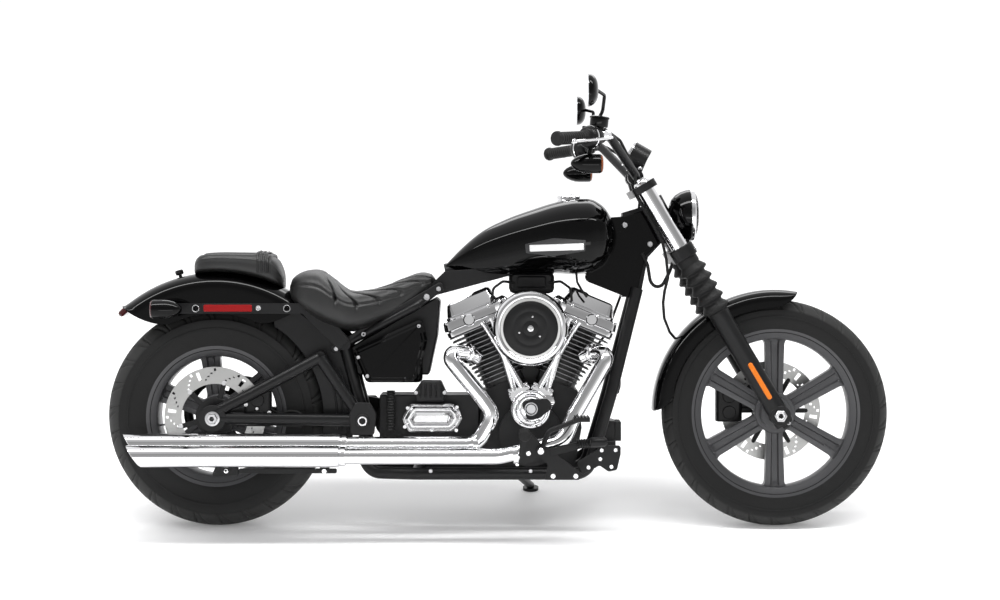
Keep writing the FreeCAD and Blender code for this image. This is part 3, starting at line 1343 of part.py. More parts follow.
# Headlamp, its bracket, and the instrument can
LAMP_SIZES = {
    "lamp_radius": 76,
    "lamp_x": 568,
    "lamp_z": 912,
    "lamp_depth": 62,
    "lamp_lens_depth": 24,
    "lamp_rim_depth": 12,
    "gauge_radius": 40,
    "gauge_depth": 54,
    "gauge_x": 436,
    "gauge_z": 1066,
    "gauge_tilt": 60,
}
add_sizes(LAMP_SIZES)
bucket = fuse("bucket_solid",
              cylinder("bucket_front", s.lamp_radius * 0.97, s.lamp_depth * 0.5,
                       s.lamp_x - s.lamp_depth * 0.5, 0, s.lamp_z, ALONG_X),
              cone("bucket_back", s.lamp_radius * 0.62, s.lamp_radius * 0.97, s.lamp_depth * 0.5,
                   s.lamp_x - s.lamp_depth, 0, s.lamp_z, ALONG_X))
arm_low_z = leg_z(s.lower_clamp_at) + s.fork_tube_radius * 1.5 * sine(s.fork_angle) + s.running_gap
arm_high_z = s.lamp_z - s.lamp_radius * 0.7
lamp_arm = centred("lamp_arm", s.lamp_rim_depth, s.lamp_radius * 0.5, arm_high_z - arm_low_z,
                   s.lamp_x - s.lamp_rim_depth * 0.7, 0, (arm_high_z + arm_low_z) / 2)
lamp_clear = cylinder("lamp_clearance", s.head_radius + s.brake_gap * 2, head_length + s.overrun * 2,
                      steer_x(s.head_low_z) + s.overrun * sine(s.rake_angle), 0,
                      s.head_low_z - s.overrun * cosine(s.rake_angle), head_turn)
lamp_rim = ring("headlamp_rim_ring", s.lamp_radius, s.lamp_radius * 0.9, s.lamp_rim_depth, s.lamp_x, 0,
                s.lamp_z, ALONG_X)
keep("headlamp", cut("headlamp_housing", fuse("headlamp_solid", bucket, lamp_arm, lamp_rim), lamp_clear))
keep("headlamp_lens", cone("headlamp_glass", s.lamp_radius * 0.9, s.lamp_radius * 0.45, s.lamp_lens_depth,
                           s.lamp_x, 0, s.lamp_z, ALONG_X))

# Handlebar with risers, grips, levers, mirrors and front signals
BAR_SIZES = {
    "bar_radius": 12.7,
    "bar_bend": 55,
    "bar_clamp_x": 404,
    "bar_clamp_z": 1021,
    "bar_clamp_half": 95,
    "bar_high_x": 318,
    "bar_high_y": 262,
    "bar_high_z": 1128,
    "grip_end_x": 163,
    "grip_end_y": 430,
    "grip_end_z": 1112,
    "grip_radius": 18,
    "grip_share": 0.36,
    "riser_radius": 20,
    "riser_half_spacing": 50,
    "mirror_x": 263,
    "mirror_y": 400,
    "mirror_z": 1246,
    "mirror_half_height": 44,
    "mirror_half_width": 62,
    "mirror_depth": 22,
    "mirror_stem_radius": 5,
    "front_signal_x": 251,
    "front_signal_y": 330,
    "front_signal_z": 1048,
}
add_sizes(BAR_SIZES)
bar_points = [(s.grip_end_x, -s.grip_end_y, s.grip_end_z),
              (s.bar_high_x, -s.bar_high_y, s.bar_high_z),
              (s.bar_clamp_x, -s.bar_clamp_half, s.bar_clamp_z),
              (s.bar_clamp_x, s.bar_clamp_half, s.bar_clamp_z),
              (s.bar_high_x, s.bar_high_y, s.bar_high_z),
              (s.grip_end_x, s.grip_end_y, s.grip_end_z)]
keep("handlebar", tube("handlebar_tube", bar_points, s.bar_radius, s.bar_bend))
riser_low = Vector(leg_x(s.upper_clamp_at + s.upper_clamp_height), 0,
                   leg_z(s.upper_clamp_at + s.upper_clamp_height))
risers = []
for side in (-1, 1):
    y = s.riser_half_spacing * side
    risers.append(tube("riser_%d" % side, [(riser_low.x, y, riser_low.z),
                                           (s.bar_clamp_x, y, s.bar_clamp_z)], s.riser_radius))
    risers.append(across("riser_cap_%d" % side, s.riser_radius * 1.15, s.riser_radius * 2, s.bar_clamp_x, y,
                         s.bar_clamp_z))
keep("upper_clamp", cut("bar_risers_bored", fuse("bar_risers_solid", upper_clamp, *risers),
                       across("riser_bore", s.bar_radius, s.overrun * 6, s.bar_clamp_x, 0, s.bar_clamp_z)))
gauge_turn = Rotation(Vector(0, 1, 0), -float(s.gauge_tilt))
keep("instrument", fuse(
    "instrument_set",
    cylinder("instrument_can", s.gauge_radius, s.gauge_depth, s.gauge_x, 0, s.gauge_z, gauge_turn),
    ring("instrument_clip", s.bar_radius * 1.6, s.bar_radius + s.running_gap, s.bar_radius * 2,
         s.bar_clamp_x, -s.bar_radius, s.bar_clamp_z),
    tube("instrument_post", [(s.bar_clamp_x + s.bar_radius, 0, s.bar_clamp_z + s.bar_radius),
                             (s.gauge_x, 0, s.gauge_z + s.bar_radius)], s.bar_radius * 0.6)))
grip_end, grip_bend = Vector(*bar_points[0]), Vector(*bar_points[1])
grip_root = grip_end + (grip_bend - grip_end) * float(s.grip_share) * 1.6
grips, controls, mirrors, signals = [], [], [], []
for hand, side in (("right", 1), ("left", -1)):
    root = Vector(grip_root.x, grip_root.y * side, grip_root.z)
    end = Vector(grip_end.x, grip_end.y * side, grip_end.z)
    grips.append(cut("grip_hollow_" + hand,
                     tube("grip_solid_" + hand, [end, root], s.grip_radius),
                     tube("grip_bore_" + hand, [end, root], s.bar_radius)))
    inward = (Vector(grip_bend.x, grip_bend.y * side, grip_bend.z) - root).normalize()
    pod_end = root + inward * float(s.overrun) * 1.2
    pod = tube("pod_" + hand, [root, pod_end], s.grip_radius * 1.3)
    lever_root = pod_end + Vector(s.overrun, 0, 0)
    lever_tip = end + Vector(s.overrun * 1.5, side * -s.overrun * 0.1, 0)
    lever = tube("lever_" + hand, [pod_end, lever_root, lever_tip], s.mirror_stem_radius * 1.3,
                 s.overrun * 0.2)
    controls.append(cut("control_bored_" + hand,
                        fuse("control_solid_" + hand, pod, lever),
                        tube("control_bore_" + hand, [end, root + inward * float(s.overrun) * 3],
                             s.bar_radius)))
    anchor = root + inward * float(s.overrun) * 0.6
    stem_foot = anchor + Vector(0, 0, s.grip_radius * 1.5)
    stem_mid = Vector(s.mirror_x + s.overrun, pod_end.y, s.mirror_z - s.mirror_half_height)
    mirror_y = -s.mirror_y * side
    reach = s.mirror_half_width - s.mirror_half_height
    shell = [cylinder("mirror_round_%s_%d" % (hand, way), s.mirror_half_height, s.mirror_depth,
                      s.mirror_x - s.mirror_depth / 2, mirror_y + reach * way, s.mirror_z, ALONG_X)
             for way in (-1, 1)]
    shell.append(centred("mirror_middle_" + hand, s.mirror_depth, reach * 2, s.mirror_half_height * 2,
                         s.mirror_x, mirror_y, s.mirror_z))
    mirrors.append(fuse("mirror_set_" + hand, tube(
        "mirror_stem_" + hand, [stem_foot, stem_mid, Vector(s.mirror_x, mirror_y, s.mirror_z)],
        s.mirror_stem_radius, s.overrun / 2), *shell))
    signal_at = Vector(s.front_signal_x, -s.front_signal_y * side, s.front_signal_z)
    signals.append(fuse(
        "front_signal_set_" + hand,
        signal("front_bullet_" + hand, s.front_signal_x, -s.front_signal_y * side, s.front_signal_z, True,
               s.front_signal_y - s.stalk_radius),
        tube("front_signal_stalk_" + hand,
             [signal_at, anchor + (signal_at - anchor).normalize() * float(s.grip_radius) * 1.56],
             s.stalk_radius)))
keep("grips", fuse("grip_pair", *grips))
keep("hand_controls", fuse("hand_control_pair", *controls))
keep("mirrors", fuse("mirror_pair", *mirrors))
keep("front_signals", fuse("front_signal_pair", *signals))

# Brake calipers
def caliper(name, end, x, z, hub_x, hub_z):
    """One brake caliper: a block with a slot that the disc runs through."""
    y = getattr(s, end + "_disc_y")
    outer = centred(name + "_blank", s.caliper_length, s.caliper_half_width * 2, s.caliper_height, x, y, z)
    slot = across(name + "_slot", getattr(s, end + "_disc_radius") + s.brake_gap * 2,
                  s.disc_thickness + s.brake_gap * 2, hub_x, y, hub_z)
    return cut(name, rounded(name + "_round", outer, s.brake_gap * 4, BOX_UPRIGHT_EDGES), slot)


keep("front_caliper", caliper("front_caliper_body", "front", s.front_caliper_x, s.front_caliper_z,
                              front_x, front_z))
keep("rear_caliper", caliper("rear_caliper_body", "rear", s.rear_caliper_x, s.rear_caliper_z,
                             rear_x, rear_z))

# Side stand on the left lower rail, its foot flat on the floor that the machine leans over
STAND_SIZES = {
    "stand_pivot_x": 60,
    "stand_pivot_y": 142,
    "stand_pivot_z": 138,
    "stand_foot_x": 105,
    "stand_foot_y": 322,
    "stand_radius": 12,
    "stand_foot_half": 24,
    "stand_foot_thickness": 9,
    "stand_gap": 1,
}
add_sizes(STAND_SIZES)
floor_turn = Rotation(Vector(1, 0, 0), float(s.lean_angle))
floor_z = s.stand_foot_y * tangent(s.lean_angle)
foot_middle = Vector(s.stand_foot_x, s.stand_foot_y, floor_z)
up = floor_turn.multVec(Vector(0, 0, 1))
foot = cylinder("stand_foot", s.stand_foot_half, s.stand_foot_thickness, foot_middle.x, foot_middle.y,
                foot_middle.z, floor_turn)
pivot = Vector(s.stand_pivot_x, s.stand_pivot_y, s.stand_pivot_z)
ankle = foot_middle + up * float(s.stand_foot_thickness) * 1.5
leg = (ankle - pivot)
stand_axis = leg.cross(Vector(-1, 0, 0)).normalize()
eye_turn = Rotation(Vector(0, 0, 1), stand_axis)
eye_foot = pivot - stand_axis * float(s.stand_radius)
eye = ring("stand_eye", s.stand_radius * 1.7, s.stand_radius * 0.6, s.stand_radius * 2,
           eye_foot.x, eye_foot.y, eye_foot.z, eye_turn)
knee = pivot + leg.normalize() * float(s.stand_radius) * 1.2
keep("side_stand", fuse("side_stand_set", eye, tube("stand_leg", [knee, ankle], s.stand_radius), foot))
head_foot = pivot - stand_axis * float(s.stand_radius * 1.25 + s.stand_gap)
lug_foot = pivot + stand_axis * float(s.stand_radius + s.stand_gap)
pin = cylinder("stand_pin", s.stand_radius * 0.6 - s.running_gap, s.stand_radius * 2.7,
               head_foot.x, head_foot.y, head_foot.z, eye_turn)
pin_head = cylinder("stand_pin_head", s.stand_radius, s.stand_radius * 0.25, head_foot.x, head_foot.y,
                    head_foot.z, eye_turn)
lug = cylinder("stand_lug", s.stand_radius * 1.4, s.stand_radius * 1.4, lug_foot.x, lug_foot.y, lug_foot.z,
               eye_turn)
lug_middle = lug_foot + stand_axis * float(s.stand_radius)
rail_point = Vector(s.stand_pivot_x, s.frame_half_width + s.frame_tube_radius * 1.02,
                    s.rail_z + s.stand_radius * 0.4)
keep("stand_bracket", fuse("stand_bracket_set", pin, pin_head, lug,
                           tube("stand_arm", [lug_middle, rail_point], s.stand_radius * 0.5)))

# The lean onto the stand, and the origin under the middle of the leaned machine's box
doc.recompute()
for item in doc.Objects:
    if "Invalid" in item.State or "Error" in item.State:
        raise RuntimeError("%s (%s) did not build: %s" % (item.Label, item.Name, item.State))
for label, item in parts.items():
    if item.Shape.isNull() or not item.Shape.isValid() or not item.Shape.Solids:
        raise RuntimeError("%s is not a valid solid" % label)
lean_turn = Rotation(Vector(1, 0, 0), -float(s.lean_angle))
box = FreeCAD.BoundBox()
for item in parts.values():
    leaned = item.Shape.copy()
    leaned.Placement = Placement(Vector(), lean_turn).multiply(leaned.Placement)
    box.add(leaned.optimalBoundingBox(False, False))
shift = Vector(-(box.XMin + box.XMax) / 2, -(box.YMin + box.YMax) / 2, 0)
park = Placement(shift, lean_turn)
for item in parts.values():
    for path, _ in list(item.ExpressionEngine):
        if "Placement" in path:
            item.setExpression(path, None)
    item.Placement = park.multiply(item.Placement)

doc.recompute()
for item in doc.Objects:
    if "Invalid" in item.State or "Error" in item.State:
        raise RuntimeError("%s (%s) did not build: %s" % (item.Label, item.Name, item.State))
os.makedirs("parts", exist_ok=True)
for label, item in parts.items():
    if item.Shape.isNull() or not item.Shape.isValid() or not item.Shape.Solids:
        raise RuntimeError("%s is not a valid solid" % label)
    item.Shape.exportStep("parts/%s.step" % label)
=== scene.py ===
"""A cruiser motorcycle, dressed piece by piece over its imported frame."""
import json
import math

import bmesh
import bpy
import numpy as np
from mathutils import Matrix, Vector

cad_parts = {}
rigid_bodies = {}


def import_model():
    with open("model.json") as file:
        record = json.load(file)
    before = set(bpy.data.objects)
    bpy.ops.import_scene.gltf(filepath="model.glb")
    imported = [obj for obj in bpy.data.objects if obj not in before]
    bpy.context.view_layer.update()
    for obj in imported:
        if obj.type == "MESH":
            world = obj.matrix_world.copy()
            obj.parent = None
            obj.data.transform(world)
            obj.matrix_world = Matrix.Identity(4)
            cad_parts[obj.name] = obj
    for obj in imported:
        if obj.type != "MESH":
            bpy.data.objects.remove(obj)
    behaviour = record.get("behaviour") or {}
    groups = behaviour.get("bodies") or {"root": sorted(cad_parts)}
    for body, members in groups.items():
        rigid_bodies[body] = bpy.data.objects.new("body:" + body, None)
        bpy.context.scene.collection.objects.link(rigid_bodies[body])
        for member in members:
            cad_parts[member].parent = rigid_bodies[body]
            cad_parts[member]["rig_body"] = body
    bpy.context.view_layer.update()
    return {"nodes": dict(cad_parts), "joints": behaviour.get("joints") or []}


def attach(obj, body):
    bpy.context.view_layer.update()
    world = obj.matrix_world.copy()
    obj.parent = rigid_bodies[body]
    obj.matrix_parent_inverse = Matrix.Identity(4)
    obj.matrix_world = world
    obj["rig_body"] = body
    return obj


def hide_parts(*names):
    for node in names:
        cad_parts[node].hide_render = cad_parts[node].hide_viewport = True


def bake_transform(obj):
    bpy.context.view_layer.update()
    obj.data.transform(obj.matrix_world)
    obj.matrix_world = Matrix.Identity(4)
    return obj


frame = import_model()

# Frame
# The frame is welded from round steel tubes and a steering head, painted satin black, and everything else
# bolts to it. The tubes keep their CAD surfaces. A pressed gusset closes each side of the neck, and steel
# bolts sit at the joints.


class Wire:
    """An output of a shader node. Sums and products of wires add the nodes that work them out."""

    def __init__(self, bench, socket):
        self.bench = bench
        self.socket = socket

    def __add__(self, other):
        return self.bench.node("ShaderNodeMath", {"operation": "ADD"}, (self, other))

    def __mul__(self, other):
        return self.bench.node("ShaderNodeMath", {"operation": "MULTIPLY"}, (self, other))

    __radd__ = __add__
    __rmul__ = __mul__

    def beside(self, output):
        """Another output of the same node."""
        return Wire(self.bench, self.socket.node.outputs[output])


class Bench:
    """A material with one principled shader, and the nodes that are added to it."""

    def __init__(self, name, **settings):
        self.material = bpy.data.materials.new(name)
        self.material.use_nodes = True
        self.tree = self.material.node_tree
        self.shader = self.tree.nodes["Principled BSDF"]
        self.set(self.shader, settings)

    def set(self, node, values):
        """Gives a node's sockets their values, colours or links, by name or by number."""
        pairs = values.items() if isinstance(values, dict) else enumerate(values)
        for key, value in pairs:
            socket = node.inputs[key.replace("_", " ") if isinstance(key, str) else key]
            if isinstance(value, Wire):
                self.tree.links.new(value.socket, socket)
                continue
            if isinstance(value, tuple) and len(value) < len(socket.default_value):
                value = (*value, 1.0)
            socket.default_value = value

    def node(self, kind, settings, values, out=0):
        """Adds a node: its settings first, then the values or links of its sockets."""
        made = self.tree.nodes.new(kind)
        for key, value in settings.items():
            if key == "stops":
                self.fill_ramp(made.color_ramp.elements, value)
            else:
                setattr(made, key, value)
        self.set(made, values)
        return Wire(self, made.outputs[out])

    def fill_ramp(self, elements, stops):
        """Gives a colour ramp, which starts with two elements, its greys in rising order."""
        for number, (place, grey) in enumerate(stops):
            element = elements[number] if number < 2 else elements.new(place)
            element.position = place
            element.color = (grey, grey, grey, 1.0)

    def place(self):
        """Where a point is on the piece, in metres of the row."""
        return self.node("ShaderNodeTexCoord", {}, (), "Object")

    def noise(self, scale, detail=2.0):
        """A cloudy pattern between 0 and 1 that stays on the piece."""
        values = {"Vector": self.place(), "Scale": scale, "Detail": detail}
        return self.node("ShaderNodeTexNoise", {}, values, "Fac")

    def bumped(self, height, depth):
        """Feeds a pattern to the normal as a relief of so many metres."""
        relief = {"Height": height, "Distance": depth, "Strength": 1.0}
        self.set(self.shader, {"Normal": self.node("ShaderNodeBump", {}, relief)})
        return self


def finish(name, colour, roughness, metallic=0.0, grain=None, sheen=0.5, wander=0.22):
    """A finish whose roughness wanders in patches by a share of itself, as wiped dust and polish leave it.
    It may have a fine grain, as (how fine, how deep), and a sheen, which is 0.5 for common plastic."""
    bench = Bench(name, Base_Color=colour, Metallic=metallic, Specular_IOR_Level=sheen)
    patches = bench.noise(24, 3.0)
    dullness = patches * (roughness * wander * 2) + roughness * (1 - wander)
    bench.set(bench.shader, {"Roughness": dullness})
    if grain:
        bench.bumped(bench.noise(grain[0]), grain[1])
    return bench.material


satin_black = finish("satin_black", (0.006, 0.006, 0.0064), 0.38, grain=(1400, 0.00008), sheen=0.26)


def shown(name, body, paint, mesh, stands_for, sharp):
    """Puts a finished mesh on its body, with its material, shading and the node that it stands for."""
    mesh.validate()
    mesh.polygons.foreach_set("use_smooth", np.ones(len(mesh.polygons), bool))
    mesh.set_sharp_from_angle(angle=math.radians(sharp))
    mesh.materials.append(paint)
    thing = bpy.data.objects.new(name, mesh)
    bpy.context.scene.collection.objects.link(thing)
    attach(thing, body)
    if stands_for:
        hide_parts(stands_for)
    return thing


def softened(node, paint, width):
    """A CAD node's own surface with its corners joined and a small bevel, in place of the node."""
    source = frame["nodes"][node]
    mesh = source.data.copy()
    mesh.materials.clear()
    work = bmesh.new()
    work.from_mesh(mesh)
    bmesh.ops.remove_doubles(work, verts=work.verts, dist=2e-6)
    bmesh.ops.dissolve_limit(work, angle_limit=math.radians(0.6), verts=work.verts, edges=work.edges)
    work.to_mesh(mesh)
    work.free()
    thing = shown(node + "_skin", source["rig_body"], paint, mesh, node, sharp=30)
    if width:
        bevel = thing.modifiers.new("edge", "BEVEL")
        bevel.width = width / 1000
        bevel.segments = 2
        bevel.limit_method = "ANGLE"
        bevel.angle_limit = math.radians(30)
        bevel.use_clamp_overlap = True


softened("frame_cradle", satin_black, 1.0)
softened("frame_head", satin_black, 4.0)


def rounded(corners, radius, steps=6):
    """A line through corners in space with an arc at each inner one: a quarter-turn fan between tangents."""
    corners = [np.asarray(corner, float) for corner in corners]
    radii = radius if hasattr(radius, "__len__") else [radius] * len(corners)
    line = [corners[0]]
    for before, here, after, bend in zip(corners, corners[1:], corners[2:], radii[1:]):
        back, on = before - here, after - here
        reach_back, reach_on = np.linalg.norm(back), np.linalg.norm(on)
        back, on = back / reach_back, on / reach_on
        half = math.acos(np.clip(back @ on, -1, 1)) / 2
        if half > math.pi / 2 - 0.02:
            line.append(here)
            continue
        cut = min(bend / math.tan(half), 0.49 * reach_back, 0.49 * reach_on)
        bend = cut * math.tan(half)
        middle = here + (back + on) / np.linalg.norm(back + on) * bend / math.sin(half)
        start, end = here + back * cut - middle, here + on * cut - middle
        sweep = math.pi - 2 * half
        for share in np.linspace(0, 1, steps):
            fan = start * math.sin((1 - share) * sweep) + end * math.sin(share * sweep)
            line.append(middle + fan / math.sin(sweep))
    line.append(corners[-1])
    return np.array(line)


def corners_cut(outline, radius, steps=5):
    """A flat closed outline with its corners rounded. From a list of radii each corner takes the one after
    its own, and a straight line cuts the last corner off."""
    outline = np.asarray(outline, float)
    looped = np.vstack((outline[-1:], outline, outline[:1]))
    flat = np.column_stack((looped[:, 0], np.zeros(len(looped)), looped[:, 1]))
    return rounded(flat, radius, steps)[1:-1][:, (0, 2)]


neck_panel = corners_cut([(240, 728), (300, 762), (328, 904), (374, 907), (428, 924), (477, 832),
                          (434, 791), (423, 745), (404, 664), (386, 664)],
                         [4, 20, 10, 10, 10, 10, 8, 14, 8, 8])
gloss_black = finish("gloss_black", (0.0012, 0.0012, 0.0013), 0.07, sheen=0.20, wander=0.15)
LEAN = math.radians(12)
TO_ROW = np.array(((1, 0, 0), (0, math.cos(LEAN), math.sin(LEAN)), (0, -math.sin(LEAN), math.cos(LEAN))))
REAR_HUB = np.array((-815.0, 0.0, 324.9))
rear_joint = [joint for joint in frame["joints"] if joint["name"] == "rear_wheel_spin"][0]
SHIFT = np.array(rear_joint["pos_m"]) * 1000 - TO_ROW @ REAR_HUB


def parked(points):
    """Upright millimetres to the row's leaned metres: one turn about X, then one shift."""
    return (np.asarray(points, float) @ TO_ROW.T + SHIFT) / 1000


def piece(name, body, paint, *shells, slot, stands_for=None, sharp=38):
    """One object on a body, from shells in upright millimetres. Faces meet sharply past an angle."""
    points = []
    faces = []
    start = 0
    for own, quads, ends in shells:
        points.append(own)
        faces += (quads + start).tolist()
        faces += [[number + start for number in end] for end in ends]
        start += len(own)
    mesh = bpy.data.meshes.new(name)
    mesh.from_pydata(parked(np.vstack(points)), [], faces)
    return shown(name, body, paint, mesh, stands_for, sharp)


def outward(points, quads, ends):
    """Turns a closed shell's faces round if its signed volume is negative: a sum of corner triple
    products."""
    a, b, c, d = (points[quads[:, k]] - points.mean(0) for k in range(4))
    volume = np.einsum("ij,ij->", a, np.cross(b, c)) + np.einsum("ij,ij->", a, np.cross(c, d))
    for end in ends:
        fan = points[end] - points.mean(0)
        volume += np.einsum("ij,ij->", np.broadcast_to(fan[0], fan[1:-1].shape), np.cross(fan[1:-1], fan[2:]))
    if volume < 0:
        return points, quads[:, ::-1], [end[::-1] for end in ends]
    return points, quads, ends


def grid(points, closed=False):
    """A shell from a grid of points whose columns go round: four-sided faces between the rows, and either a
    face across each end or, where it is closed, faces from the last row back to the first."""
    points = np.asarray(points, float)
    rows, columns = points.shape[:2]
    index = np.arange(rows * columns).reshape(rows, columns)
    ends = [] if closed else [index[0, ::-1].tolist(), index[-1].tolist()]
    if closed:
        index = np.vstack((index, index[:1]))
    index = np.hstack((index, index[:, :1]))
    quads = np.stack((index[:-1, :-1], index[1:, :-1], index[1:, 1:], index[:-1, 1:]), -1)
    return outward(points.reshape(-1, 3), quads.reshape(-1, 4), ends)


def inset(outline, distance):
    """An outline moved inwards: each corner goes along the sum of its sides' inward normals."""
    outline = np.asarray(outline, float)
    before, after = np.roll(outline, 1, 0), np.roll(outline, -1, 0)
    one, two = outline - before, after - outline
    one /= np.linalg.norm(one, axis=1)[:, None]
    two /= np.linalg.norm(two, axis=1)[:, None]
    area = np.sum(outline[:, 0] * after[:, 1] - after[:, 0] * outline[:, 1])
    turn = np.sign(area) * np.array((-1, 1))
    normals = one[:, ::-1] * turn + two[:, ::-1] * turn
    normals /= np.maximum(1 + np.sum(one * two, 1), 0.35)[:, None]
    return outline + normals * distance


def plate(outline, low, high, edge=1.0, turn=None):
    """A flat outline in X and Z with thickness from one Y to another, its rims bevelled."""
    outline = np.asarray(outline, float)
    small = inset(outline, edge)
    rims = [(small, low), (outline, low + edge), (outline, high - edge), (small, high)]
    points = np.array([np.column_stack((rim[:, 0], np.full(len(rim), y), rim[:, 1])) for rim, y in rims])
    if turn is not None:
        points = points @ turn.T
    return grid(points)


def plate_pair(outline, near, far, edge=1.0, turn=None):
    """The same plate at both sides, between two distances from the middle plane."""
    return [plate(outline, *sorted((near * side, far * side)), edge, turn) for side in (-1, 1)]


piece("neck_gussets", "chassis", gloss_black, *plate_pair(neck_panel, 39.5, 42.5, 1.2), slot="satin_black")
FRAME_BOLTS = ((374, 42.2, 882, 8), (448, 42.2, 826, 8), (396, 42.2, 690, 5), (-464, 92, 523, 7),
               (-385, 92, 565, 7), (-202, 92, 672, 9), (-168, 92, 696, 7), (262, 113, 196, 6),
               (-190, 113.5, 172, 6), (98, 113.5, 172, 6))
satin_metal = finish("satin_metal", (0.55, 0.55, 0.56), 0.32, 1.0, grain=(1600, 0.00004))


def across(axis):
    """Two unit vectors square to an axis and to each other."""
    axis = np.asarray(axis, float) / np.linalg.norm(axis)
    side = np.cross(axis, (0, 0, 1)) if abs(axis[2]) < 0.9 else np.cross(axis, (1, 0, 0))
    side = side / np.linalg.norm(side)
    return axis, side, np.cross(axis, side)


def angles_round(count):
    """Equal angles round a circle, in radians."""
    return np.arange(count) * (2 * math.pi / count)


def turned(profile, at, axis=(0, 1, 0), around=48, ring=False):
    """A profile of (radius, distance along the axis) points turned about an axis; ring closes the
    profile."""
    axis, side, up = across(axis)
    radius, along = np.asarray(profile, float).T[..., None, None]
    angle = angles_round(around)
    outwards = np.cos(angle)[:, None] * side + np.sin(angle)[:, None] * up
    return grid(np.asarray(at, float) + along * axis + radius * outwards, closed=ring)


def bolt(at, axis=(0, -1, 0), radius=6.0, height=5.0):
    """A socket screw's head: a round rim, a rounded top and a well."""
    return turned([(radius, 0), (radius, height * 0.75), (radius * 0.82, height), (radius * 0.5, height),
                   (radius * 0.44, height * 0.45)], at, axis, 18)


piece("frame_bolts", "chassis", satin_metal,
      *[bolt((x, y * side, z), (0, side, 0), radius, 6) for side in (-1, 1)
        for x, y, z, radius in FRAME_BOLTS],
      slot="chrome")

# Seat rail plates
# Flat black plates on the outer side of the seat rails, cut from sheet and held by the bolts that also
# hold the mudguard and the seat.
rail_line = corners_cut([(-484, 528), (-472, 508), (-150, 692), (-156, 716), (-188, 712)], [6, 6, 8, 8, 20])
piece("seat_rail_plates", "chassis", satin_black, *plate_pair(rail_line, 84, 92, 2), slot="satin_black")

# Swingarm and rear axle
# The swingarm is a triangle of satin black tubes that hinges behind the gearbox. Its ends carry the hollow
# steel axle, with a turned ring and a six-sided nut at each side.
softened("swingarm", satin_black, 2.0)
softened("rear_axle", satin_metal, 0.3)


def hoop(outer, inner, low, high, at, axis=(0, 1, 0), edge=1.0, around=64):
    """A round ring of square section with bevelled corners."""
    return turned([(outer - edge, low), (outer, low + edge), (outer, high - edge), (outer - edge, high),
                   (inner + edge, high), (inner, high - edge), (inner, low + edge), (inner + edge, low)],
                  at, axis, around, ring=True)


piece("axle_bosses", "chassis", satin_black,
      *[hoop(39, 13.4, 143.2, 147, REAR_HUB, (0, side, 0), 1.4, 64) for side in (-1, 1)], slot="satin_black")
WASHER = [(8, 0), (20, 0), (21, 1.5), (21, 3), (17.5, 3.4), (17.5, 5), (8, 5)]
NUT = [(7.5, 4), (15.5, 4), (16, 5), (16, 12), (14.5, 14), (7.5, 14)]
axle_ends = [(REAR_HUB + (0, 147 * side, 0), (0, side, 0)) for side in (-1, 1)]
piece("rear_axle_nuts", "chassis", satin_metal,
      *[turned(WASHER, at, way, 48, ring=True) for at, way in axle_ends],
      *[turned(NUT, at, way, 6, ring=True) for at, way in axle_ends], slot="chrome")

# Rear suspension
# The spring unit lies flat ahead of the rear wheel, bolted between swingarm and frame: a black body with a
# steel coil spring of seven turns round it. It doesn't move here.
COIL_TURNS = 7
COIL_RADIUS = 23
SHOCK = np.array((0.0, 0.0, 481.0))
share = np.linspace(0, 1, COIL_TURNS * 20 + 1)
wound = share * COIL_TURNS * 2 * math.pi
coil_line = SHOCK + np.column_stack((-478 + 134 * share, COIL_RADIUS * np.cos(wound),
                                     COIL_RADIUS * np.sin(wound)))


def drum(radius, low, high, at, axis=(0, 1, 0), edge=1.0, around=40):
    """A round bar between two distances along an axis, with small bevels at its ends."""
    return turned([(radius - edge, low), (radius, low + edge), (radius, high - edge), (radius - edge, high)],
                  at, axis, around)


piece("shock_body", "chassis", satin_black, drum(17, -484, -338, SHOCK, (1, 0, 0), 2, 32),
      drum(28, -491, -479, SHOCK, (1, 0, 0), 2, 40), drum(28, -343, -330.5, SHOCK, (1, 0, 0), 2, 40),
      stands_for="rear_shock", slot="satin_black")


def carried(profile, path, scale=None):
    """A flat closed profile carried along a path without twist: each frame is the last one turned least."""
    path = np.asarray(path, float)
    profile = np.asarray(profile, float)
    ways = np.gradient(path, axis=0)
    ways = ways / np.linalg.norm(ways, axis=1)[:, None]
    _, side, up = across(ways[0])
    sides = [side]
    for way in ways[1:]:
        side = sides[-1] - way * (sides[-1] @ way)
        sides.append(side / np.linalg.norm(side))
    sides = np.array(sides)
    ups = np.cross(ways, sides)
    grow = np.ones(len(path)) if scale is None else np.asarray(scale, float)
    section = sides[:, None] * profile[None, :, :1] + ups[:, None] * profile[None, :, 1:]
    return grid(path[:, None] + section * grow[:, None, None])


def circle(radius, around=16, squash=1.0):
    """A round outline of points."""
    angle = angles_round(around)
    return np.stack((radius * np.cos(angle), radius * squash * np.sin(angle)), 1)


piece("shock_spring", "chassis", satin_metal, carried(circle(4.6, 12), coil_line), slot="chrome")

# Pivot plates
# Black plates at the swingarm's pivot, each with a bright ring round a hollow bolt, and a moulded black
# inner guard with three ribs, which closes the space between the rear tyre and the frame.
PIVOT = np.array((-384.0, 0.0, 319.0))
pivot_line = corners_cut([(-418, 278), (-350, 278), (-344, 340), (-362, 372), (-404, 372), (-422, 340)], 10)
piece("pivot_plates", "chassis", satin_black, *plate_pair(pivot_line, 152, 158, 2),
      *[hoop(20, 9.5, 148, 163, PIVOT, (0, side, 0), 1.5, 40) for side in (-1, 1)], slot="satin_black")
bright_metal = finish("bright_metal", (0.76, 0.76, 0.77), 0.17, 1.0)
piece("pivot_rings", "chassis", bright_metal,
      *[hoop(13.5, 9.0, 161, 165, PIVOT, (0, side, 0), 0.8, 40) for side in (-1, 1)], slot="chrome")


def arch(radius, degrees):
    """Points of X and Z on a circle about the rear hub."""
    angle = np.radians(degrees)
    return np.column_stack((REAR_HUB[0] + radius * np.cos(angle), REAR_HUB[2] + radius * np.sin(angle)))


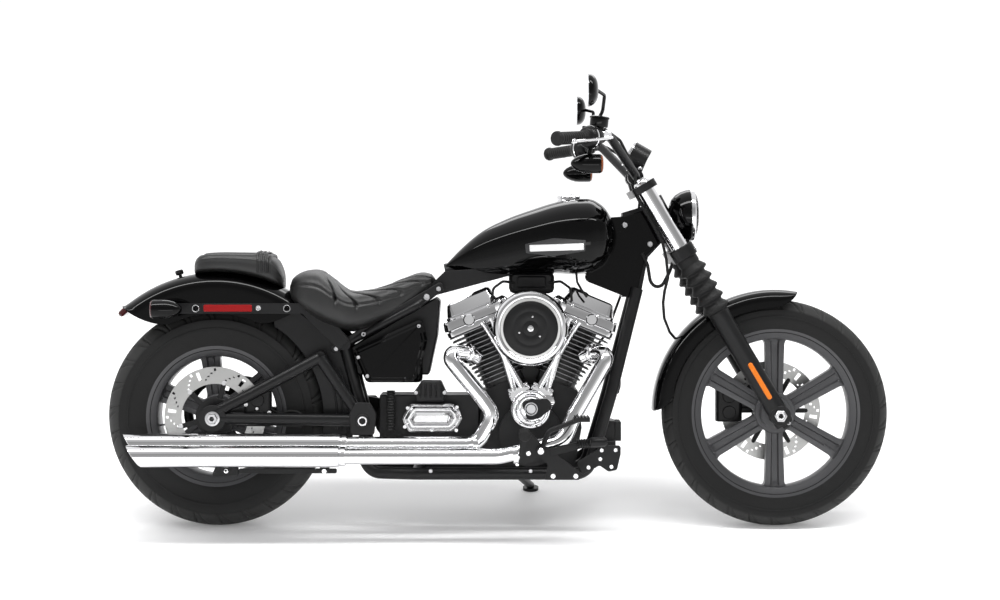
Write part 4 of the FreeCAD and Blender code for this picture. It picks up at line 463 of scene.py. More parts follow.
sweep = np.linspace(-9, 57, 34)
inner_line = np.vstack((arch(312, sweep), [(-648, 616), (-636, 626), (-574, 628), (-512, 584), (-462, 546),
                                           (-432, 440), (-414, 360), (-418, 262), (-502, 262)]))
inner_band = np.vstack((arch(336, sweep), arch(340, sweep[::-1])))
inner_ribs = []
for reach, last in ((352, 30), (368, 26), (386, 21.5)):
    x, z = arch(reach, np.linspace(-6, last, 16)).T
    inner_ribs += [carried(circle(3.2, 10), np.column_stack((x, np.full(16, y), z))) for y in (-74.5, 74.5)]
piece("inner_guard", "chassis", satin_black, *plate_pair(inner_line, 68, 74, 1.5),
      plate(inner_band, -69, 69, 0.8), *inner_ribs, slot="satin_black")

# Crankcase
# The crankcase is a satin black casting, bolted into the frame. It keeps its CAD body with softened
# corners, and carries bright case screws round its cam side.
cast_black = finish("cast_black", (0.008, 0.008, 0.0085), 0.46, grain=(900, 0.0002), sheen=0.3)
softened("crankcase", cast_black, 2.5)
CASE_SCREWS = ((12, 232), (24, 300), (60, 356), (150, 352), (190, 300), (188, 230), (150, 192), (60, 188))
chrome = finish("chrome", (0.84, 0.84, 0.85), 0.09, 1.0, wander=0.15)
piece("case_screws", "chassis", chrome, *[bolt((x, -75, z), (0, -1, 0), 6, 6) for x, z in CASE_SCREWS],
      slot="chrome")

# Cylinders
# Black finned cylinders of the V-twin, leaning 22.5 degrees fore and aft. The fins are real plates with
# rounded ends, thin at the rim, on a round barrel, and their size grows upwards. They replace the CAD
# cylinders.
CRANK = np.array((98.0, 0.0, 256.0))
BANK = 22.5
FINS = 13
FIN_FOOT = 201
FIN_STEP = 13.2


def fin_outline(half_x, half_y, corner):
    """A rectangle with round corners as a closed line of 28 points (across, sideways)."""
    angle = np.linspace(0, math.pi / 2, 7)
    quarter = np.column_stack((half_x - corner + corner * np.cos(angle),
                               half_y - corner + corner * np.sin(angle)))
    return np.vstack((quarter, quarter[::-1] * (-1, 1), -quarter, quarter[::-1] * (1, -1)))


def fin(half_x, half_y, corner, low, high, edge=1.2):
    """A plate square to the bore, from one height to another, its rim rounded off."""
    rings = [(edge, low), (0, low + edge * 0.8), (0, high - edge * 0.8), (edge, high)]
    points = np.array([np.column_stack((fin_outline(half_x - cut, half_y - cut, corner - cut),
                                        np.full(28, height)))
                       for cut, height in rings])
    return grid(points)


def fin_stack(proud, half_thick, edge):
    """All fins up a bore: their half length grows with a power of the height, their half width as a ramp."""
    fins = []
    for number in range(FINS):
        share = number / (FINS - 1)
        height = FIN_FOOT + FIN_STEP * number
        half_x = 66 + proud + 38 * share ** 0.9
        half_y = 66 + proud + 30 * min(1.0, share * 1.5)
        fins.append(fin(half_x, half_y, 34, height - half_thick, height + half_thick, edge))
    return fins


def moved(shell, turn=None, by=(0, 0, 0)):
    """A shell turned by a matrix about the origin and then shifted."""
    points, quads, ends = shell
    if turn is not None:
        points = points @ turn.T
    return points + np.asarray(by, float), quads, ends


def swung(degrees, axis="y"):
    """The matrix of a turn about Y, where nose down is positive, or about Z."""
    c = math.cos(math.radians(degrees))
    s = math.sin(math.radians(degrees))
    if axis == "z":
        return np.array(((c, -s, 0), (s, c, 0), (0, 0, 1)))
    return np.array(((c, 0, s), (0, 1, 0), (-s, 0, c)))


def on_bank(lean, shells):
    """Shells from a cylinder's own place, Z up its bore, turned and shifted to the crank."""
    return [moved(shell, swung(lean), CRANK) for shell in shells]


barrel = [drum(64, 168, 364, (0, 0, 0), (0, 0, 1), 1.0, 56)]
studs = [drum(13, 180, 364, (x, y, 0), (0, 0, 1), 1.0, 18) for y in (-40, 40) for x in (-40, 40)]
cylinder = barrel + fin_stack(0, 1.7, 1.2) + studs
fin_black = finish("fin_black", (0.012, 0.012, 0.012), 0.45, grain=(1200, 0.0001))
piece("front_cylinder_fins", "chassis", fin_black, *on_bank(BANK, cylinder), stands_for="front_cylinder",
      slot="satin_black")
piece("rear_cylinder_fins", "chassis", fin_black, *on_bank(-BANK, cylinder), stands_for="rear_cylinder",
      slot="satin_black")
machined_edge = finish("machined_edge", (0.30, 0.30, 0.31), 0.34, 1.0)
fin_edges = fin_stack(0.4, 0.9, 0.3)
piece("fin_rims", "chassis", machined_edge, *on_bank(BANK, fin_edges), *on_bank(-BANK, fin_edges),
      slot="chrome")


def box(centre, size, edge=1.5, turn=None):
    """A block round a centre with bevelled edges."""
    x, y, z = np.array(size) / 2
    outline = corners_cut([(-x, -z), (x, -z), (x, z), (-x, z)], edge * 1.5, 3)
    return moved(plate(outline, -y, y, edge), turn, centre)


piece("engine_valley", "chassis", satin_black, box((98, 6, 448), (118, 84, 120), 10),
      *on_bank(BANK, [box((-30, 0, 440), (60, 92, 40), 8)]),
      *on_bank(-BANK, [box((30, 0, 440), (60, 92, 40), 8)]),
      drum(26, -40, 92, (98, 0, 500), (0, -1, 0), 3, 32), slot="satin_black")

# Rocker covers
# Bright chrome rocker boxes and heads: a head block with two side fins, a stepped cover with bolts round
# its rim and a raised lid. They replace the CAD rocker covers, one on each cylinder.


def stepped_block(half_x, half_y, corner, low, high, edge, taper, shift):
    """A block up the bore with a rounded rim at its top and a slight draw, shifted across."""
    rings = [(2.0, low), (0, low + 2.0), (taper, high - edge), (taper + edge * 0.3, high - edge * 0.3),
             (taper + edge, high)]
    points = np.array([np.column_stack((fin_outline(half_x - cut, half_y - cut,
                                                    max(corner - cut, 3)) + (shift, 0),
                                        np.full(28, height))) for cut, height in rings])
    return grid(points)


def rocker_parts(outer):
    """Head, foot cover, lid and screws of one cylinder; outer is 1 or -1, where its far side is."""
    head = [stepped_block(104, 80, 20, 362, 378, 2, 0, 2 * outer),
            stepped_block(99, 76, 20, 377, 383, 1, 0, 2 * outer)]
    cover = [stepped_block(106, 84, 24, 382, 410, 6, 4, 4 * outer),
             stepped_block(82, 66, 22, 409, 418, 2, 0, 10 * outer)]
    lid = [stepped_block(78, 62, 24, 417, 456, 15, 8, 10 * outer)]
    cover_screws = [bolt((x + 4 * outer, y, 404), (0, 0, 1), 6.5, 7) for x in (-92, -40, 40, 92)
                    for y in (-74, 74)]
    lid_screws = [bolt((x + 10 * outer, y, 418), (0, 0, 1), 6, 7) for x in (-56, 56) for y in (-50, 50)]
    ports = [drum(17, -8, 10, (30 * outer, -78, 392), (0, -1, 0), 3, 24),
             drum(30, 0, 22, (-66 * outer, -62, 392), (-outer, -0.6, 0), 3, 24)]
    return head + cover + lid + cover_screws + lid_screws + ports


piece("rocker_boxes", "chassis", chrome, *on_bank(BANK, rocker_parts(1)), *on_bank(-BANK, rocker_parts(-1)),
      stands_for="rocker_covers", slot="chrome")

# Pushrod tubes
# Chrome pushrod tubes, two to a cylinder, from the tappet blocks up to the rocker boxes. Each has a sprung
# sleeve with a collar at its middle and seals at its ends. The tappet blocks are bright and bolted down.


def pushrod_tube(foot, head):
    """One tube: wide seals at both ends, and a thick lower sleeve that ends in a collar at its middle."""
    length = np.linalg.norm(np.subtract(head, foot))
    profile = [(7, 0), (12.5, 1), (12.5, 9), (10, 11), (10, length * 0.46), (11.6, length * 0.47),
               (11.6, length * 0.50), (8.6, length * 0.51), (8.6, length - 9), (12, length - 8),
               (12, length), (6, length + 0.5)]
    return turned(profile, foot, np.subtract(head, foot), 26)


tubes = []
tappet_blocks = []
for outer in (1, -1):
    pair = [pushrod_tube((-12 * outer, -112, 152), (-34 * outer, -104, 372)),
            pushrod_tube((-38 * outer, -112, 152), (-4 * outer, -100, 372))]
    block = np.array((-26 * outer, -104, 140))
    block_screws = [bolt(block + (x, y, 17), (0, 0, 1), 5.5, 6) for x in (-26, 26) for y in (-15, 15)]
    tubes += on_bank(BANK * outer, pair)
    tappet_blocks += on_bank(BANK * outer, [box(block, (64, 44, 34), 5), *block_screws])
piece("pushrod_sleeves", "chassis", chrome, *tubes, *tappet_blocks, stands_for="pushrod_tubes", slot="chrome")

# Cam cover
# A cast and chromed cover over the cam gears, held by five screws round its raised face. A lobe at its front
# holds a small black insert, and a plain round plate is at its middle. It replaces the CAD cover.
CAM = np.array((98.0, -94.0, 352.0))
cam_face = turned([(59, 0), (60, 4), (59, 26), (55, 33), (48, 36), (44, 35), (42, 38), (34, 41), (30, 40),
                   (28, 36), (26, 36), (25, 41), (8, 43)], CAM, (0, -1, 0), 72)
front_lobe = turned([(24, 0), (24, 26), (20, 32), (8, 34)], CAM + (48, 0, 20), (0, -1, 0), 36)
rear_lobe = turned([(15, 0), (15, 22), (12, 27), (4, 28)], CAM + (-46, 0, 34), (0, -1, 0), 28)


def spot(centre, radius, degrees, aside=0.0):
    """A point round a centre: its radius in X and Z, its angle from X to Z, and its shift along Y."""
    angle = math.radians(degrees)
    return np.asarray(centre, float) + (radius * math.cos(angle), aside, radius * math.sin(angle))


cam_screws = [bolt(spot(CAM, 49, degrees, -31), (0, -1, 0), 4.6, 6) for degrees in (18, 90, 162, 234, 306)]
piece("cam_cover_face", "chassis", chrome, cam_face, front_lobe, rear_lobe, *cam_screws,
      stands_for="cam_cover", slot="chrome")
insert_line = corners_cut([(74, 372), (100, 380), (146, 381), (158, 369), (158, 353), (120, 324), (92, 322),
                           (74, 334)], [16, 14, 8, 6, 10, 16, 16, 16])
piece("cam_cover_insert", "chassis", satin_black, plate(insert_line, -138.5, -124, 1.2), slot="satin_black")
piece("medallion", "chassis", satin_metal, hoop(19, 16, 136, 140.5, (99, 0, 352), (0, -1, 0), 0.6, 48),
      drum(13.5, 136, 139.5, (99, 0, 352), (0, -1, 0), 0.8, 40), slot="chrome")

# Air cleaner
# The round air cleaner at the right: a chrome ring round a light middle ring and a black disc with one
# screw. It bolts to both cylinders through a short dark throat, and replaces the CAD node.
CLEANER = np.array((96.0, 0.0, 587.0))
piece("air_cleaner_rim", "chassis", chrome,
      turned([(84, 78), (104, 80), (107, 86), (107, 128), (105, 139), (99, 148), (92, 150), (88, 148),
              (83, 143), (82, 138), (60, 136), (60, 84)], CLEANER + (0, -94, 0), (0, -1, 0), 96),
      stands_for="air_cleaner", slot="chrome")
pale_ring = finish("pale_ring", (0.62, 0.62, 0.61), 0.35, 0.6)
piece("air_cleaner_ring", "chassis", pale_ring,
      turned([(89, 140), (87, 144.5), (78, 145), (76.5, 140)], CLEANER + (0, -94, 0), (0, -1, 0), 96),
      slot="chrome")
piece("air_cleaner_disc", "chassis", satin_black,
      turned([(78, 138), (77.5, 146), (75, 148), (50, 149.4), (48, 148.8), (46, 149.4), (24, 150),
              (22, 149.2), (20, 150), (9, 150.4)], CLEANER + (0, -94, 0), (0, -1, 0), 96),
      drum(56, 92, 176, CLEANER, (0, -1, 0), 2, 60), slot="satin_black")
piece("air_cleaner_screw", "chassis", chrome, bolt(CLEANER + (0, -243.5, 0), (0, -1, 0), 8.5, 3.6),
      *[bolt(spot(CLEANER, 34, degrees, -243.2), (0, -1, 0), 2.6, 1.2) for degrees in (80, 200, 320)],
      slot="chrome")

# Intake and leads
# A black intake box hangs under the tank between the two banks, on the strip of the frame that runs
# forward from the seat. Two black plug leads leave it for the heads.
under_line = corners_cut([(-196, 672), (-46, 712), (12, 727), (70, 745), (70, 762), (-150, 748),
                          (-196, 704)], 6)
piece("intake_box", "chassis", satin_black, box((102, -6, 714), (132, 96, 64), 10),
      box((102, -56, 716), (84, 12, 34), 4),
      *plate_pair(under_line, 52, 57, 1.5), slot="satin_black")
rubber_black = finish("rubber_black", (0.010, 0.010, 0.010), 0.58, grain=(1100, 0.00012), sheen=0.25)


def pipe(corners, radius, bend=30, around=18, steps=6):
    """A round bar along a line with rounded corners."""
    return carried(circle(radius, around), rounded(corners, bend, steps))


piece("plug_leads", "chassis", rubber_black,
      *[pipe([(102 + 50 * way, -52, 714), (102 + 84 * way, -68, 718), (102 + 112 * way, -84, 698),
              (102 + 116 * way, -84, 660)], 3.8, 16, 12) for way in (-1, 1)],
      pipe([(232, -48, 744), (234, -62, 716), (246, -74, 694), (262, -78, 672)], 3.4, 16, 12), slot="rubber")

# Gearbox
# The black gearbox keeps its CAD body. Its bright cover at the right is an eight-sided cast plate with a
# stepped face, and a smaller ribbed top cover with two screws sits above it.
softened("gearbox", cast_black, 3)
cover_rim = [(-245, 365), (-125, 365), (-107, 347), (-99, 322), (-112, 300), (-130, 284), (-253, 284),
             (-268, 312), (-272, 325), (-260, 346)]
COVER_SCREWS = ((-256, 354), (-114, 356), (-264, 300), (-116, 290), (-186, 291))
piece("gearbox_face", "chassis", bright_metal,
      plate(corners_cut(cover_rim, 10), -118, -72, 5),
      plate(corners_cut(inset(cover_rim, 7), 9), -130, -114, 8),
      plate(corners_cut(inset(cover_rim, 20), 7), -144, -126, 11),
      *[bolt((x, -120, z), (0, -1, 0), 6, 6) for x, z in COVER_SCREWS], stands_for="gearbox_cover",
      slot="chrome")
lid_line = corners_cut([(-232, 372), (-152, 372), (-146, 400), (-160, 432), (-216, 432), (-238, 400)], 9)
piece("gearbox_lid", "chassis", cast_black, plate(lid_line, -118, -60, 4),
      *[box((x, -119, 404), (6, 6, 40), 2) for x in (-220, -205, -190, -175, -160)], slot="satin_black")
piece("gearbox_lid_screws", "chassis", chrome,
      *[bolt((x, -118, z), (0, -1, 0), 6.5, 6) for x, z in ((-232, 398), (-150, 398))], slot="chrome")

# Primary cover
# The primary case at the left is satin black with a stepped rim, a round clutch cover with screws and a
# plain face. It keeps the CAD body with softened corners.
softened("primary_cover", cast_black, 5)
CLUTCH = np.array((-190.0, 175.0, 285.0))
piece("primary_trim", "chassis", satin_black,
      turned([(70, 0), (70, 5), (64, 9), (20, 10)], CLUTCH, (0, 1, 0), 64),
      turned([(52, 0), (52, 4), (46, 8), (12, 9)], CRANK + (0, 175, 0), (0, 1, 0), 56), slot="satin_black")
piece("primary_screws", "chassis", chrome,
      *[bolt(spot(CLUTCH, 58, degrees, 6), (0, 1, 0), 5, 5) for degrees in range(0, 360, 60)],
      *[bolt(spot(CRANK, 40, degrees, 180), (0, 1, 0), 4.5, 4.5) for degrees in range(0, 360, 90)],
      slot="chrome")

# Headers
# Chrome header pipes of 45 mm. The front one runs down ahead of its cylinder and the rear one between the
# two, and both turn back into the silencers. Each has a flange with two nuts at its port. They are swept
# tubes.
HEADER = 22.5
UPPER_Y = -162
UPPER_Z = 253
LOWER_Y = -218
LOWER_Z = 224
front_path = rounded([(252, -100, 500), (270.1, -114.7, 509.4), (325, -165, 516), (222, -191.5, 342),
                      (190, -206.75, 265), (6, LOWER_Y, LOWER_Z), (-446, LOWER_Y, LOWER_Z)],
                     [0, 30, 45, 200, 60, 140, 0], 14)
rear_path = rounded([(-58, -104, 498), (-74.1, -118.6, 509.4), (-152, -155.5, 520), (-47, UPPER_Y, 392),
                     (-8, UPPER_Y, 336), (-56, UPPER_Y, UPPER_Z), (-446, UPPER_Y, UPPER_Z)],
                    [0, 24, 32, 120, 42, 52, 0], 14)
pipe_chrome = Bench("pipe_chrome", Base_Color=(0.87, 0.87, 0.88), Roughness=0.075, Metallic=1.0)


def header(path):
    """A swept tube with a collar where it leaves its port, at the tenth point of its path."""
    collar = turned([(HEADER + 0.1, 0), (29, 1), (30, 8), (28, 13), (23, 14)], path[9], path[10] - path[9],
                    36)
    return carried(circle(HEADER, 40), path), collar


def header_band(at, way):
    """A clamped band round a header."""
    return turned([(HEADER + 0.3, 0), (26.5, 1), (26.5, 15), (HEADER + 0.3, 16)], at, way, 40)


piece("front_header_pipe", "chassis", pipe_chrome.material, *header(front_path), slot="chrome")
piece("rear_header_pipe", "chassis", pipe_chrome.material, *header(rear_path), slot="chrome")
piece("header_shields", "chassis", pipe_chrome.material, header_band((-52, UPPER_Y, UPPER_Z), (-1, 0, 0)),
      header_band((60, -214.8, 231), (-1, -0.06, -0.12)), slot="chrome")

# Silencers
# Two straight chrome silencers, one above the other at the right, cut off at a slant at the back. Each is
# a wall with a dark bore, and has a seam ring and a clamp where the header goes in. They replace the CAD
# exhausts.
CAN = 31
CAN_WALL = 2.6
CAN_FRONT = -436
SEAM = -452
CUT_SLANT = -0.70


def slashed_tube(middle_y, middle_z, back_x):
    """A tube along X whose back end is a slanting plane: the last rows shift by the height times the slant.
    A cone, a seam ring and the straight wall follow from the front, and the bore goes back in."""
    bore = CAN - CAN_WALL
    rows = [(CAN_FRONT, CAN * 0.72, 0), (CAN_FRONT - 4, CAN * 0.86, 0), (SEAM + 7, CAN * 0.86, 0),
            (SEAM + 5, CAN * 0.99, 0), (SEAM - 5, CAN * 0.99, 0), (SEAM - 7, CAN, 0), (SEAM - 60, CAN, 0),
            (back_x * 0.8, CAN, 0), (back_x * 0.9, CAN, 0), (back_x + 1.2, CAN, 1), (back_x, CAN - 0.8, 1),
            (back_x, bore + 0.8, 1), (back_x + 1.2, bore, 1), (back_x * 0.9, bore, 0),
            (back_x * 0.84, bore, 0)]
    x, radius, cut = np.array(rows).T[..., None]
    angle = angles_round(64)
    height = radius * np.sin(angle)
    x = x + cut * CUT_SLANT * (height + CAN)
    return grid(np.stack((x, middle_y + radius * np.cos(angle), middle_z + height), -1))


piece("upper_silencer", "chassis", pipe_chrome.material, slashed_tube(UPPER_Y, UPPER_Z, -1024.6),
      hoop(28.5, 22.7, 0, 14, (-428, UPPER_Y, UPPER_Z), (-1, 0, 0), around=40),
      stands_for="rear_exhaust", slot="chrome")
piece("lower_silencer", "chassis", pipe_chrome.material, slashed_tube(LOWER_Y, LOWER_Z, -1006.6),
      hoop(28.5, 22.7, 0, 14, (-428, LOWER_Y, LOWER_Z), (-1, 0, 0), around=40),
      stands_for="front_exhaust", slot="chrome")
soot = finish("soot", (0.006, 0.006, 0.006), 0.9)
piece("silencer_baffles", "chassis", soot, drum(28, 0, 4, (-960, UPPER_Y, UPPER_Z), (-1, 0, 0), 1, 40),
      drum(28, 0, 4, (-960, LOWER_Y, LOWER_Z), (-1, 0, 0), 1, 40), slot="satin_black")
piece("silencer_hangers", "chassis", satin_black,
      plate(corners_cut([(-735, 172), (-455, 172), (-455, 186), (-735, 186)], 5), -184, -176, 1.5),
      plate(corners_cut([(-812, 162), (-735, 166), (-735, 190), (-800, 196)], 5), -186, -178, 1.5),
      box((-490, -178, 208), (26, 30, 62), 3), box((-770, -178, 208), (26, 30, 62), 3), slot="satin_black")
piece("hanger_bolts", "chassis", chrome, bolt((-490, -194, 180), (0, -1, 0), 7, 6),
      bolt((-770, -187, 180), (0, -1, 0), 7, 6), slot="chrome")

# Tyres
# Black rubber tyres, wider at the back, on beads in the rim flanges. The tread is a layer of raised blocks:
# slanted grooves alternate to the left and right and leave a plain band along the middle. They replace the
# CAD tyres, keep their crown and side, and turn with their wheels.


def tyre_rubber(name, hub, shoulder):
    """Rubber that is paler on its tread band than on its side walls. A point's distance from the axle is the
    length of the cross product of its place from the hub with the axle's way, and the paler band begins at
    the shoulder."""
    bench = Bench(name, Roughness=0.60, Specular_IOR_Level=0.25)
    from_hub = bench.node("ShaderNodeVectorMath", {"operation": "SUBTRACT"},
                          (bench.place(), tuple(parked(hub))))
    axle_way = tuple(TO_ROW @ (0, 1, 0))
    aside = bench.node("ShaderNodeVectorMath", {"operation": "CROSS_PRODUCT"}, (from_hub, axle_way))
    reach = bench.node("ShaderNodeVectorMath", {"operation": "LENGTH"}, (aside,), "Value")
    band = {"Value": reach, "From_Min": shoulder - 0.004, "From_Max": shoulder + 0.004}
    tread_share = bench.node("ShaderNodeMapRange", {}, band, "Result")
    colour = bench.node("ShaderNodeMix", {"data_type": "RGBA"},
                        {0: tread_share, 6: (0.0080, 0.0080, 0.0080), 7: (0.024, 0.024, 0.0235)}, 2)
    bench.set(bench.shader, {"Base_Color": colour})
    return bench.bumped(bench.noise(420), 0.0004).material


TYRE_STEPS = 1152
TREAD_GROOVE = 5.5


def tyre_section(radius, crown, half_width, flange, bead_y):
    """The closed cross-section, as (distance across, distance from the hub): side walls through chosen
    points, the crown as part of an ellipse, and the bead's inner corners."""
    wall = radius - flange
    side = np.array([(bead_y, flange - 9), (bead_y + 4, flange + 2),
                     (half_width * 0.955, flange + 0.32 * wall), (half_width, flange + 0.50 * wall),
                     (half_width * 0.985, flange + 0.62 * wall)])
    start = math.atan2(half_width * 0.93, crown * 0.36)
    share = 0.93 * np.sin(np.linspace(start, -start, 41)) / math.sin(start)
    top = np.column_stack((half_width * share,
                           radius - crown + crown * np.sqrt(np.maximum(0.0, 1 - share ** 2))))
    inside = np.array([(-bead_y + 8, flange - 9), (-bead_y + 10, flange - 4),
                       (bead_y - 10, flange - 4), (bead_y - 8, flange - 9)])
    return np.vstack((side, top, side[::-1] * (-1, 1), inside))


def groove(turn, across_share, half_wide, slope, first, last):
    """A groove's depth from 0 to 1: full within its half width, in turns, then a slope, and none outside the
    shares of the width where it starts and ends."""
    distance = np.abs(turn % 1.0 - 0.5)
    within = (across_share > first) & (across_share < last)
    return np.clip(slope - distance / half_wide, 0, 1) * within


def tyre_surface(hub, radius, crown, half_width, flange, bead_y, repeats, phase):
    """The cross-section turned about the hub. The crown sinks by a groove whose place round the hub slants
    with the distance across to a power, and a shorter groove lies between two of them."""
    section = tyre_section(radius, crown, half_width, flange, bead_y)
    angle = angles_round(TYRE_STEPS)[:, None]
    side_share = section[:, 0] / half_width
    across_share = np.abs(side_share)
    turn = (angle * repeats / (2 * math.pi) + 0.5 * np.sign(side_share) + phase) % 1.0
    slant = across_share ** 1.3
    long_groove = groove(turn - 0.75 * slant + 0.5, across_share, 0.055, 1.4, 0.13, 0.90)
    short_groove = groove(turn - 0.35 * slant + 0.02, across_share, 0.040, 1.3, 0.42, 0.95)
    on_crown = section[:, 1] > radius - crown * 0.72
    reach = section[:, 1] - TREAD_GROOVE * np.maximum(long_groove, short_groove) * on_crown
    y = np.broadcast_to(hub[1] + section[:, 0], reach.shape)
    return grid(np.stack((hub[0] + reach * np.sin(angle), y, hub[2] + reach * np.cos(angle)), -1),
                closed=True)


def wall_line(hub, radius, side_y):
    """A thin raised line round each side wall."""
    return [hoop(radius, radius - 3.5, side * side_y - 0.7, side * side_y + 0.7, hub, edge=0.3, around=128)
            for side in (-1, 1)]


FRONT_HUB = np.array((815.0, 0.0, 332.2))
piece("front_tyre_tread", "front_wheel", tyre_rubber("front_tyre_rubber", FRONT_HUB, shoulder=0.303),
      tyre_surface(FRONT_HUB, radius=331, crown=54, half_width=50, flange=255, bead_y=42, repeats=30,
                   phase=0.0),
      stands_for="front_tyre", slot="tyre", sharp=50)
piece("rear_tyre_tread", "rear_wheel", tyre_rubber("rear_tyre_rubber", REAR_HUB, shoulder=0.285),
      tyre_surface(REAR_HUB, radius=323, crown=85, half_width=75, flange=214, bead_y=60, repeats=26,
                   phase=0.3),
      stands_for="rear_tyre", slot="tyre", sharp=50)
piece("front_tyre_line", "front_wheel", rubber_black, *wall_line(FRONT_HUB, 285, 50.2), slot="tyre")
piece("rear_tyre_line", "rear_wheel", rubber_black, *wall_line(REAR_HUB, 258, 75.2), slot="tyre")

# Cast wheels
# Satin dark grey cast wheels with six straight spokes. Each spoke is a bar with a groove along its middle,
# and grows wider into the rim. The rim is one turned ring with its flanges, and carries the valve. They
# replace the CAD wheels.
SPOKES = 6
SPOKE_DEPTH = 34
SPOKE_CHANNEL = 8


def spokes(hub, inner, outer, hub_width, rim_width, first):
    """Straight bars between a hub and a rim: a section with a sunk middle is carried outwards, its width
    grows with the radius, and both ends flare as the square of the distance to them."""
    along = np.concatenate((np.linspace(0, 0.12, 5), np.linspace(0.2, 0.8, 7), np.linspace(0.88, 1, 5)))
    reach = inner + (outer - inner) * along
    half = 0.5 * (hub_width + (rim_width - hub_width) * along)
    rim_flare = np.clip((along - 0.88) / 0.12, 0, 1)
    hub_flare = np.clip((0.12 - along) / 0.12, 0, 1)
    half = half + 15 * rim_flare ** 2 + 7 * hub_flare ** 2
    width = np.array((-1, -0.93, -0.45, -0.30, 0.30, 0.45, 0.93, 1))
    corner = np.array((0.512, 0, 0, 0, 0, 0, 0, 0.512))
    channel = SPOKE_CHANNEL * np.array((0, 0, 0, 1, 1, 0, 0, 0))
    fade = np.clip(np.minimum(along, 1 - along) / 0.10, 0, 1)[:, None]
    face = SPOKE_DEPTH / 2 - corner - channel * fade
    x = half[:, None] * np.concatenate((width, width[::-1]))
    y = np.concatenate((-face, face[:, ::-1]), 1)
    shells = []
    for number in range(SPOKES):
        angle = math.radians(first + number * 360 / SPOKES)
        outwards = np.array((math.cos(angle), 0, math.sin(angle)))
        side = np.array((-math.sin(angle), 0, math.cos(angle)))
        middle = hub + reach[:, None, None] * outwards
        shells.append(grid(middle + x[..., None] * side + y[..., None] * (0, 1, 0)))
    return shells


def wheel_rim(hub, flange, half, seat_radius, inner):
    """A closed ring: flanges, bead seats and the thin wall that the spokes meet."""
    return turned([(flange, -half), (flange, -half + 5), (seat_radius, -half + 9),
                   (seat_radius - 3, -half + 22), (seat_radius - 12, 0), (seat_radius - 3, half - 22),
                   (seat_radius, half - 9), (flange, half - 5), (flange, half), (flange - 5, half + 1),
                   (flange - 13, half - 1), (inner + 11, half - 7), (inner + 2, half - 12),
                   (inner, half - 18), (inner - 1, 0), (inner, -half + 18), (inner + 2, -half + 12),
                   (inner + 11, -half + 7), (flange - 13, -half + 1), (flange - 5, -half - 1)], hub,
                  around=160, ring=True)


AXLE_BORE = 12.9


def hub_barrel(hub, radius, half, neck_radius, neck_half):
    """The hub: a middle ring between two narrower necks, bored for the axle."""
    return [hoop(radius, AXLE_BORE, -half, half, hub, edge=3),
            hoop(neck_radius, AXLE_BORE, -neck_half, 1 - half, hub, edge=2),
            hoop(neck_radius, AXLE_BORE, half - 1, neck_half, hub, edge=2)]


def rim_shade_ring(hub, radius, side_y):
    """A thin black ring round each face of a rim: painted shade along its step."""
    return [hoop(radius + 1.6, radius - 1.6, *sorted((side * (side_y - 3), side * (side_y + 0.5))), hub,
                 edge=0.3, around=128) for side in (-1, 1)]


VALVE = 3.2
wheel_grey = finish("wheel_grey", (0.062, 0.062, 0.065), 0.40, 0.35, grain=(1500, 0.00006))
piece("front_wheel_casting", "front_wheel", wheel_grey,
      *spokes(FRONT_HUB, inner=46, outer=222, hub_width=46, rim_width=58, first=30),
      wheel_rim(FRONT_HUB, flange=255, half=42, seat_radius=243, inner=216),
      *hub_barrel(FRONT_HUB, radius=60, half=27, neck_radius=46, neck_half=60),
      pipe([FRONT_HUB + (180, -12, -118), FRONT_HUB + (150, -14, -98)], VALVE, around=10),
      drum(VALVE + 1, -5, 5, FRONT_HUB + (148, -14, -97), axis=(-30, -2, 20), around=10),
      stands_for="front_wheel_cast", slot="wheel_grey")
piece("rear_wheel_casting", "rear_wheel", wheel_grey,
      *spokes(REAR_HUB, inner=50, outer=180, hub_width=48, rim_width=56, first=38),
      wheel_rim(REAR_HUB, flange=214, half=60, seat_radius=203, inner=174),
      *hub_barrel(REAR_HUB, radius=62, half=30, neck_radius=50, neck_half=76),
      pipe([REAR_HUB + (-178, -20, -30), REAR_HUB + (-150, -22, -26)], VALVE, around=10),
      stands_for="rear_wheel_cast", slot="wheel_grey")
# Black rings on the rims' faces: painted shade along the steps of the rims.
piece("front_rim_shade_ring", "front_wheel", satin_black, *rim_shade_ring(FRONT_HUB, 237, 39), slot="wheel_grey")
piece("rear_rim_shade_ring", "rear_wheel", satin_black, *rim_shade_ring(REAR_HUB, 194, 56.4), slot="wheel_grey")

# Brake discs
# Ground steel discs with long slots and holes, a dark carrier and rivets. The front one sits at the left
# of its wheel and the rear one at the right. Each band is a plate with real openings, and they replace the
# CAD discs.
disc_steel = Bench("disc_steel", Base_Color=(0.40, 0.40, 0.395), Roughness=0.34, Metallic=1.0)
disc_steel.bumped(disc_steel.noise(300), 0.0002)
DISC_CELLS = 12


